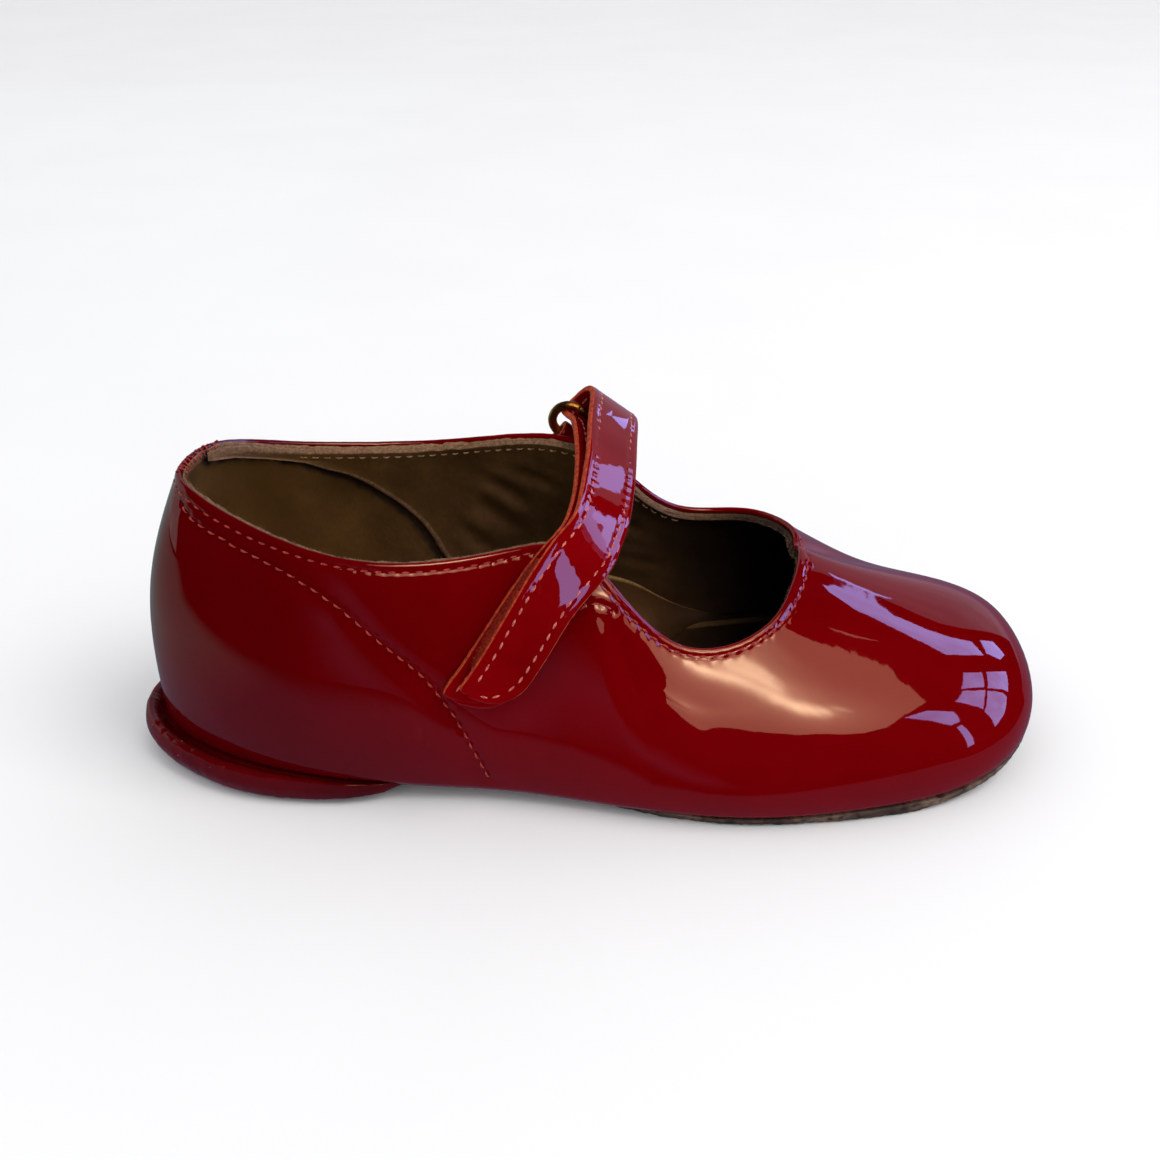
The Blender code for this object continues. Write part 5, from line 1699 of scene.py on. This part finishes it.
# ------------------------------------------------------------------ studio
def plain(name, colour, rough=0.9):
    p = Paint(name)
    c = p.ramp(p.noise(60, 2), [(0.35, tuple(v * 0.985 for v in colour)), (0.65, colour)])
    return p.set(Base_Color=c, Roughness=rough, Specular_IOR_Level=0.1)


FLOOR_MAT = plain("pale_floor", (0.86, 0.86, 0.86))


def stage_mesh(name, verts, faces, mat):
    me = bpy.data.meshes.new(name)
    me.from_pydata([tuple(v) for v in verts], [], faces)
    me.materials.append(mat)
    ob = bpy.data.objects.new(name, me)
    bpy.context.scene.collection.objects.link(ob)
    return ob


floor = stage_mesh("floor", [(-8, -8, 0), (8, -8, 0), (8, 8, 0), (-8, 8, 0)], [(0, 1, 2, 3)], FLOOR_MAT)
floor.visible_glossy = False          # the gloss sees the cards below instead


def glow(name, colour, strength, noisy=0.0):
    m = bpy.data.materials.new(name)
    m.use_nodes = True
    nt = m.node_tree
    nt.nodes.clear()
    out = nt.nodes.new("ShaderNodeOutputMaterial")
    em = nt.nodes.new("ShaderNodeEmission")
    em.inputs["Strength"].default_value = strength
    em.inputs["Color"].default_value = (*colour, 1)
    if noisy:
        co = nt.nodes.new("ShaderNodeTexCoord")
        nz = nt.nodes.new("ShaderNodeTexNoise")
        nz.inputs["Scale"].default_value = 2.2
        nt.links.new(co.outputs["Object"], nz.inputs["Vector"])
        rp = nt.nodes.new("ShaderNodeValToRGB")
        rp.color_ramp.elements[0].position = 0.35
        rp.color_ramp.elements[1].position = 0.65
        rp.color_ramp.elements[0].color = (*[c * (1 - noisy) for c in colour], 1)
        rp.color_ramp.elements[1].color = (*colour, 1)
        nt.links.new(nz.outputs["Fac"], rp.inputs["Fac"])
        nt.links.new(rp.outputs["Color"], em.inputs["Color"])
    nt.links.new(em.outputs[0], out.inputs[0])
    return m


def spotted_glow(name, colour, strength, seen_from, spots):
    """Glow with soft brighter patches: heading from a place, width in radians, colour, gain."""
    m = glow(name, colour, 1.0)
    nt = m.node_tree
    em = next(n for n in nt.nodes if n.type == "EMISSION")
    geo = nt.nodes.new("ShaderNodeNewGeometry")
    rel = nt.nodes.new("ShaderNodeVectorMath"); rel.operation = "SUBTRACT"
    nt.links.new(geo.outputs["Position"], rel.inputs[0])
    rel.inputs[1].default_value = tuple(Vector(row_frame(seen_from)[0]))
    nrm_ = nt.nodes.new("ShaderNodeVectorMath"); nrm_.operation = "NORMALIZE"
    nt.links.new(rel.outputs[0], nrm_.inputs[0])
    base = nt.nodes.new("ShaderNodeRGB")
    base.outputs[0].default_value = (*[c * strength for c in colour], 1)
    total = base.outputs[0]
    for (az_, el_), wide, col, gain in spots:
        d = nt.nodes.new("ShaderNodeVectorMath"); d.operation = "DISTANCE"
        nt.links.new(nrm_.outputs[0], d.inputs[0])
        d.inputs[1].default_value = tuple(heading(az_, el_))
        q = nt.nodes.new("ShaderNodeMath"); q.operation = "DIVIDE"
        nt.links.new(d.outputs["Value"], q.inputs[0]); q.inputs[1].default_value = wide
        sq = nt.nodes.new("ShaderNodeMath"); sq.operation = "MULTIPLY"
        nt.links.new(q.outputs[0], sq.inputs[0]); nt.links.new(q.outputs[0], sq.inputs[1])
        ex = nt.nodes.new("ShaderNodeMath"); ex.operation = "POWER"
        ex.inputs[0].default_value = math.exp(-1)
        nt.links.new(sq.outputs[0], ex.inputs[1])
        sc_ = nt.nodes.new("ShaderNodeVectorMath"); sc_.operation = "SCALE"
        sc_.inputs[0].default_value = tuple(c * gain for c in col)
        nt.links.new(ex.outputs[0], sc_.inputs["Scale"])
        ad = nt.nodes.new("ShaderNodeVectorMath"); ad.operation = "ADD"
        nt.links.new(total, ad.inputs[0]); nt.links.new(sc_.outputs[0], ad.inputs[1])
        total = ad.outputs[0]
    nt.links.new(total, em.inputs["Color"])
    return m


def heading(az, el):
    a, e = math.radians(az), math.radians(el)
    return Vector((math.sin(a) * math.cos(e), math.cos(a) * math.cos(e), math.sin(e)))


def card(name, seen_from, corners, mat, reach=3.0, sunk=False):
    """Light card that the gloss alone sees: corners as compass (0 = away from the
    camera, 90 = past the toe) and height angles from a place on the shoe in mm."""
    c = Vector(row_frame(seen_from)[0])
    v = [c + heading(a, e) * reach for a, e in corners]
    for p in v:
        p.z = p.z if sunk else max(p.z, min(0.02, reach * 0.02))
    return plate(name, v, mat)


def plate(name, v, mat):
    ob = stage_mesh(name, v, [tuple(range(len(v)))], mat)
    ob.visible_camera = False
    ob.visible_diffuse = False
    ob.visible_shadow = False
    ob.visible_transmission = False
    ob.visible_volume_scatter = False
    return ob


WIN = glow("window_glow", (0.36, 0.40, 1.0), 9.0, 0.25)
PAPER = glow("paper_glow", (0.72, 0.62, 1.0), 0.19)
ROOM = glow("pale_room_glow", (0.86, 0.78, 1.0), 0.50, 0.2)
ROOM_DIM = glow("dim_room_glow", (0.90, 1.0, 0.98), 0.62, 0.3)
STRAP_WIN = glow("strap_window_glow", (0.36, 0.40, 1.0), 7.0, 0.2)
STRAP_DIM = glow("strap_haze_glow", (0.80, 0.45, 1.0), 0.9, 0.4)


WARM_FROM = (116, -26, 24)
SPOTS = [((156, 47), 0.26, (1.0, 0.60, 0.36), 5.6),
         ((159, 53.6), 0.052, (1.0, 0.72, 0.44), 11.5),
         ((162, 49.8), 0.047, (1.0, 0.72, 0.44), 11.0),
         ((165.5, 45), 0.054, (1.0, 0.72, 0.44), 13.5),
         ((159, 42), 0.062, (1.0, 0.72, 0.44), 16.0),
         ((151.5, 42), 0.057, (1.0, 0.72, 0.44), 14.0),
         ((145, 42.5), 0.045, (1.0, 0.72, 0.44), 11.0),
         ((138, 43.6), 0.030, (1.0, 0.72, 0.44), 4.0),
         ((127, 66), 0.080, (1.0, 0.70, 0.42), 11.0)]
WARM = spotted_glow("warm_panel_glow", (1.0, 0.46, 0.31), 3.1, WARM_FROM, SPOTS)

# tall window past the toe, two rows of panes
card("window_a", (130, -8, 30), [(41, 33), (43, 36.6), (47.3, 40.8), (51.5, 43), (55, 40.5), (56, 37), (55, 30), (62.5, 29), (72, 44.2), (67, 47.3), (61, 49), (56, 49.3), (51, 47), (46, 42.6), (41, 37)], WIN)
card("window_b", (148, -9, 23), [(50, 17), (52, 25), (60, 27), (60, 19), (55, 13)], WIN)
# gridded window round the toe
card("window_c1", (144, -18, 20), [(84, 41), (78, 33.5), (89.3, 31.3), (95.5, 36.8), (98.5, 38.8)], WIN)
card("window_c2", (144, -20, 19), [(99.3, 37.8), (96.5, 35.2), (91, 30), (98, 27), (104.5, 22.5), (105, 26), (109, 36)], WIN)
card("window_c3", (149, -16, 19), [(76, 31.5), (67, 17), (80.5, 14), (82.5, 20), (89, 29.3)], WIN)
card("window_c4", (147, -20, 17), [(91, 28.8), (84.5, 18.5), (84.5, 13.5), (96, 6), (105, 2.5), (105, 20.5), (98, 25)], WIN)
card("window_d1", (136, -25, 18), [(127, 36), (118, 37), (114, 31), (117, 23), (121, 22.5), (123, 30)], WIN)
card("window_d2", (143, -25, 14), [(121, 20), (118, 21), (117, -5), (121, -6)], WIN, 0.10)
# warm wall to the front right
card("warm_wall", WARM_FROM, [(76, 54.5), (79, 56.8), (85, 57.0), (90, 56.3), (96, 54.3), (103, 51), (109, 46), (113.5, 41), (126, 37), (136, 30), (143, 27), (151, 25.8), (158, 26), (166, 25), (172, 26), (177, 27), (-178, 32), (-176, 42), (178, 52), (160, 70), (120, 82), (80, 66)], WARM)
# small panes that only the strap mirrors
panes = [plate("strap_pane_a", row_frame([(107.8, 56.6, 65.3), (109.3, 50.5, 69.5), (110.5, 52.8, 68.4)]), STRAP_WIN),
         plate("strap_pane_b", row_frame([(110.5, 52.8, 68.4), (110.2, 60.5, 58.0), (114.4, 50.2, 67.7)]), STRAP_WIN),
         card("strap_pane_c", (84, -5, 51), [(42.9, 22.3), (46.8, 18.3), (48.9, 22.3), (47.3, 29), (44.9, 42), (42, 32)], STRAP_WIN, 0.06),
         plate("strap_pane_d", row_frame([(122.8, 16.6, 80.9), (125.3, 18.2, 79.3), (126, 11.6, 80.0), (131.6, -8, 77.8), (124, -8, 90), (119.3, 14.3, 85.5)]), STRAP_WIN),
         card("strap_haze", (84, -12, 49), [(56, 25), (64, 25), (74, 34), (94, 44), (86, 50), (66, 38), (60, 31)], STRAP_DIM, 3.3),
         plate("strap_pane_e", row_frame([(x, -49, z) for x, z in ((78, 72), (73.4, 55), (70.8, 48), (70.3, 44.5), (79, 44), (83.3, 50), (82.8, 61), (86, 73), (85, 90), (81, 90))]), STRAP_WIN)]
mirror = bpy.data.collections.new("strap_mirrors")
for ob in (strap, tab):
    mirror.objects.link(ob)
for ob in panes:
    ob.light_linking.receiver_collection = mirror
others = bpy.data.collections.new("all_but_strap")
others.objects.link(strap)
others.collection_objects[0].light_linking.link_state = "EXCLUDE"
bpy.data.objects["warm_wall"].light_linking.receiver_collection = others
# a little of the warm wall beside the strap's foot, and dusk light low on the quarter
PEACH = glow("warm_patch_glow", (1.0, 0.46, 0.31), 3.3, 0.3)
peach = plate("warm_patch", row_frame([(x, -50, z) for x, z in ((85, 45), (91, 43.5), (100, 45), (104, 48), (100, 51), (87, 50))]), PEACH)
peach.light_linking.receiver_collection = others
DUSK = spotted_glow("dusk_glow", (0.0, 0.0, 0.0), 0.0, (45, -24, 32),
                    [((-161, -1), 0.15, (0.72, 0.55, 1.0), 0.16), ((-166, -15), 0.16, (0.72, 0.55, 1.0), 0.16), ((-174, -25), 0.14, (0.72, 0.55, 1.0), 0.14)])
dusk = card("dusk_patch", (45, -24, 32), [(-146, 14), (-162, 13), (-170, 0), (-177, -9), (179, -17), (175, -30), (-178, -42), (-160, -40), (-146, -20)], DUSK, 3.0, True)
dusk.light_linking.receiver_collection = others
# pale room behind, brighter past the toe, dimmer behind the heel
card("room_toe", (120, 0, 30), [(-30, -4), (43.4, -4), (46, 19), (48.3, 29.3), (48.6, 33.5), (46, 36), (43, 36), (38, 37), (20, 42), (-30, 40)], ROOM, 3.6, True)
# small dark flags near the leather that trim two reflections
FLAG = glow("dark_flag", (0.0, 0.0, 0.0), 0.0)
plate("flag_streak", row_frame([(x, y, 41 - 0.37 * (x - 126.5)) for x, y in ((112, -11), (112, -2), (119, 1.5), (124.8, 2.6), (126.3, 0), (128.3, -4), (131.2, -6), (134.2, -8.6), (137, -10.6), (134, -11.5), (125, -11.5))]), FLAG)
plate("flag_tip", row_frame([(x, -36, z) for x, z in ((84, 24), (94, 24), (96, 29), (97, 33), (97.3, 38), (84, 38))]), FLAG)
card("room_heel", (40, 0, 30), [(-32, -4), (-32, 40), (-76, 40), (-90, 22), (-93, -4)], ROOM_DIM, 3.6, True)
# the sheet of paper the shoe stands on, as the gloss sees it
front = [(215, 10, 2), (185, -30, 2), (160, -47, 3), (125, -43, 3), (105, -40, 3), (88, -37, 4), (70, -48, 7), (50, -56, 16), (24, -50, 26),
         (-8, -50, 30), (-40, -44, 30), (-120, -30, 30), (-400, -20, 60)]
behind = [(-480, 220), (-300, 600), (300, 700), (700, 500), (400, 100)]
inner = [(x, y, 0.3) for x, y, _ in front]
outer = [(x + (w * 0.4 if x > 150 else 0) - (w * 0.5 if x < 0 else 0), y - w, 0.3) for x, y, w in front]
nfr = len(front)
verts = row_frame(inner + outer + [(x, y, 0.3) for x, y in behind])
faces = [tuple(list(range(nfr)) + list(range(2 * nfr, 2 * nfr + len(behind))))]
faces += [(i, i + 1, nfr + i + 1, nfr + i) for i in range(nfr - 1)]
paper = stage_mesh("paper_card", [tuple(v) for v in verts], faces, PAPER)
at_ = paper.data.attributes.new("glow", "FLOAT", "POINT")
for i in range(nfr, 2 * nfr):
    at_.data[i].value = 0.0
for i in list(range(nfr)) + list(range(2 * nfr, len(verts))):
    at_.data[i].value = 1.0
nt = PAPER.node_tree
an = nt.nodes.new("ShaderNodeAttribute")
an.attribute_name = "glow"
mp = nt.nodes.new("ShaderNodeMapRange")
mp.interpolation_type = "SMOOTHSTEP"
nt.links.new(an.outputs["Fac"], mp.inputs["Value"])
mp.inputs["To Max"].default_value = 0.19
em = next(n for n in nt.nodes if n.type == "EMISSION")
far = nt.nodes.new("ShaderNodeMapRange")
far.interpolation_type = "SMOOTHSTEP"
far.inputs["From Min"].default_value = 0.05
far.inputs["From Max"].default_value = 0.40
far.inputs["To Min"].default_value = 1.0
far.inputs["To Max"].default_value = 2.8
both = nt.nodes.new("ShaderNodeMath")
both.operation = "MULTIPLY"
nt.links.new(mp.outputs["Result"], both.inputs[0])
nt.links.new(far.outputs["Result"], both.inputs[1])
nt.links.new(both.outputs[0], em.inputs["Strength"])
gp = nt.nodes.new("ShaderNodeNewGeometry")
sx = nt.nodes.new("ShaderNodeSeparateXYZ")
nt.links.new(gp.outputs["Position"], sx.inputs[0])
mx = nt.nodes.new("ShaderNodeMapRange")
nt.links.new(sx.outputs["X"], mx.inputs["Value"])
nt.links.new(sx.outputs["Y"], far.inputs["Value"])
mx.inputs["From Min"].default_value = -0.080
mx.inputs["From Max"].default_value = -0.125
tone = nt.nodes.new("ShaderNodeMix")
tone.data_type = "RGBA"
nt.links.new(mx.outputs["Result"], tone.inputs[0])
tone.inputs[6].default_value = (0.72, 0.62, 1.0, 1)
tone.inputs[7].default_value = (0.90, 1.55, 1.50, 1)
nt.links.new(tone.outputs[2], em.inputs["Color"])
for k in ("visible_camera", "visible_diffuse", "visible_shadow", "visible_transmission"):
    setattr(paper, k, False)

world = bpy.data.worlds.new("studio_world")
bpy.context.scene.world = world
world.use_nodes = True
wn = world.node_tree
bg = wn.nodes["Background"]
lp = wn.nodes.new("ShaderNodeLightPath")
mixw = wn.nodes.new("ShaderNodeMix")
mixw.data_type = "RGBA"
wn.links.new(lp.outputs["Is Glossy Ray"], mixw.inputs[0])
mixw.inputs[6].default_value = (0.86, 0.87, 0.89, 1)
mixw.inputs[7].default_value = (0.004, 0.002, 0.003, 1)
wn.links.new(mixw.outputs[2], bg.inputs["Color"])
bg.inputs["Strength"].default_value = 1.0


def soft_light(name, place, target, size, watts, colour=(1, 1, 1), gloss=False):
    l = bpy.data.lights.new(name, "AREA")
    l.shape = "SQUARE"
    l.size = size
    l.energy = watts
    l.color = colour
    ob = bpy.data.objects.new(name, l)
    ob.location = place
    ob.rotation_mode = "QUATERNION"
    ob.rotation_quaternion = (Vector(target) - Vector(place)).to_track_quat("-Z", "Y")
    bpy.context.scene.collection.objects.link(ob)
    ob.visible_glossy = gloss
    return ob


soft_light("key_soft", (0.75, -0.35, 1.15), (0, 0, 0.02), 0.8, 9.0, (1.0, 0.98, 0.97))

# ------------------------------------------------------------------ camera
cam_data = bpy.data.cameras.new("camera")
cam_data.sensor_width = 36.0
cam_data.lens = 36.0 * 1428.81 / 1160.0
cam_data.clip_start = 0.01
cam_data.dof.use_dof = False
cam = bpy.data.objects.new("camera", cam_data)
az, el, roll_, dist_ = math.radians(0.38), math.radians(29.47), math.radians(-0.59), 246.98
back_v = Vector((math.sin(az) * math.cos(el), -math.cos(az) * math.cos(el), math.sin(el)))
spot = Vector((79.5 - ORIGIN_X, -2.0 - ORIGIN_Y, 31.75 - 1.2)) * MM + back_v * dist_ * MM
right = (-back_v).cross(Vector((0, 0, 1))).normalized()
upv = right.cross(-back_v)
rx = right * math.cos(roll_) + upv * math.sin(roll_)
uy = upv * math.cos(roll_) - right * math.sin(roll_)
cam.matrix_world = Matrix(((rx.x, uy.x, back_v.x, spot.x), (rx.y, uy.y, back_v.y, spot.y), (rx.z, uy.z, back_v.z, spot.z), (0, 0, 0, 1)))
bpy.context.scene.collection.objects.link(cam)
bpy.context.scene.camera = cam
bpy.context.scene.view_settings.view_transform = "Standard"
bpy.context.scene.view_settings.look = "None"
bpy.context.scene.view_settings.exposure = 0.0
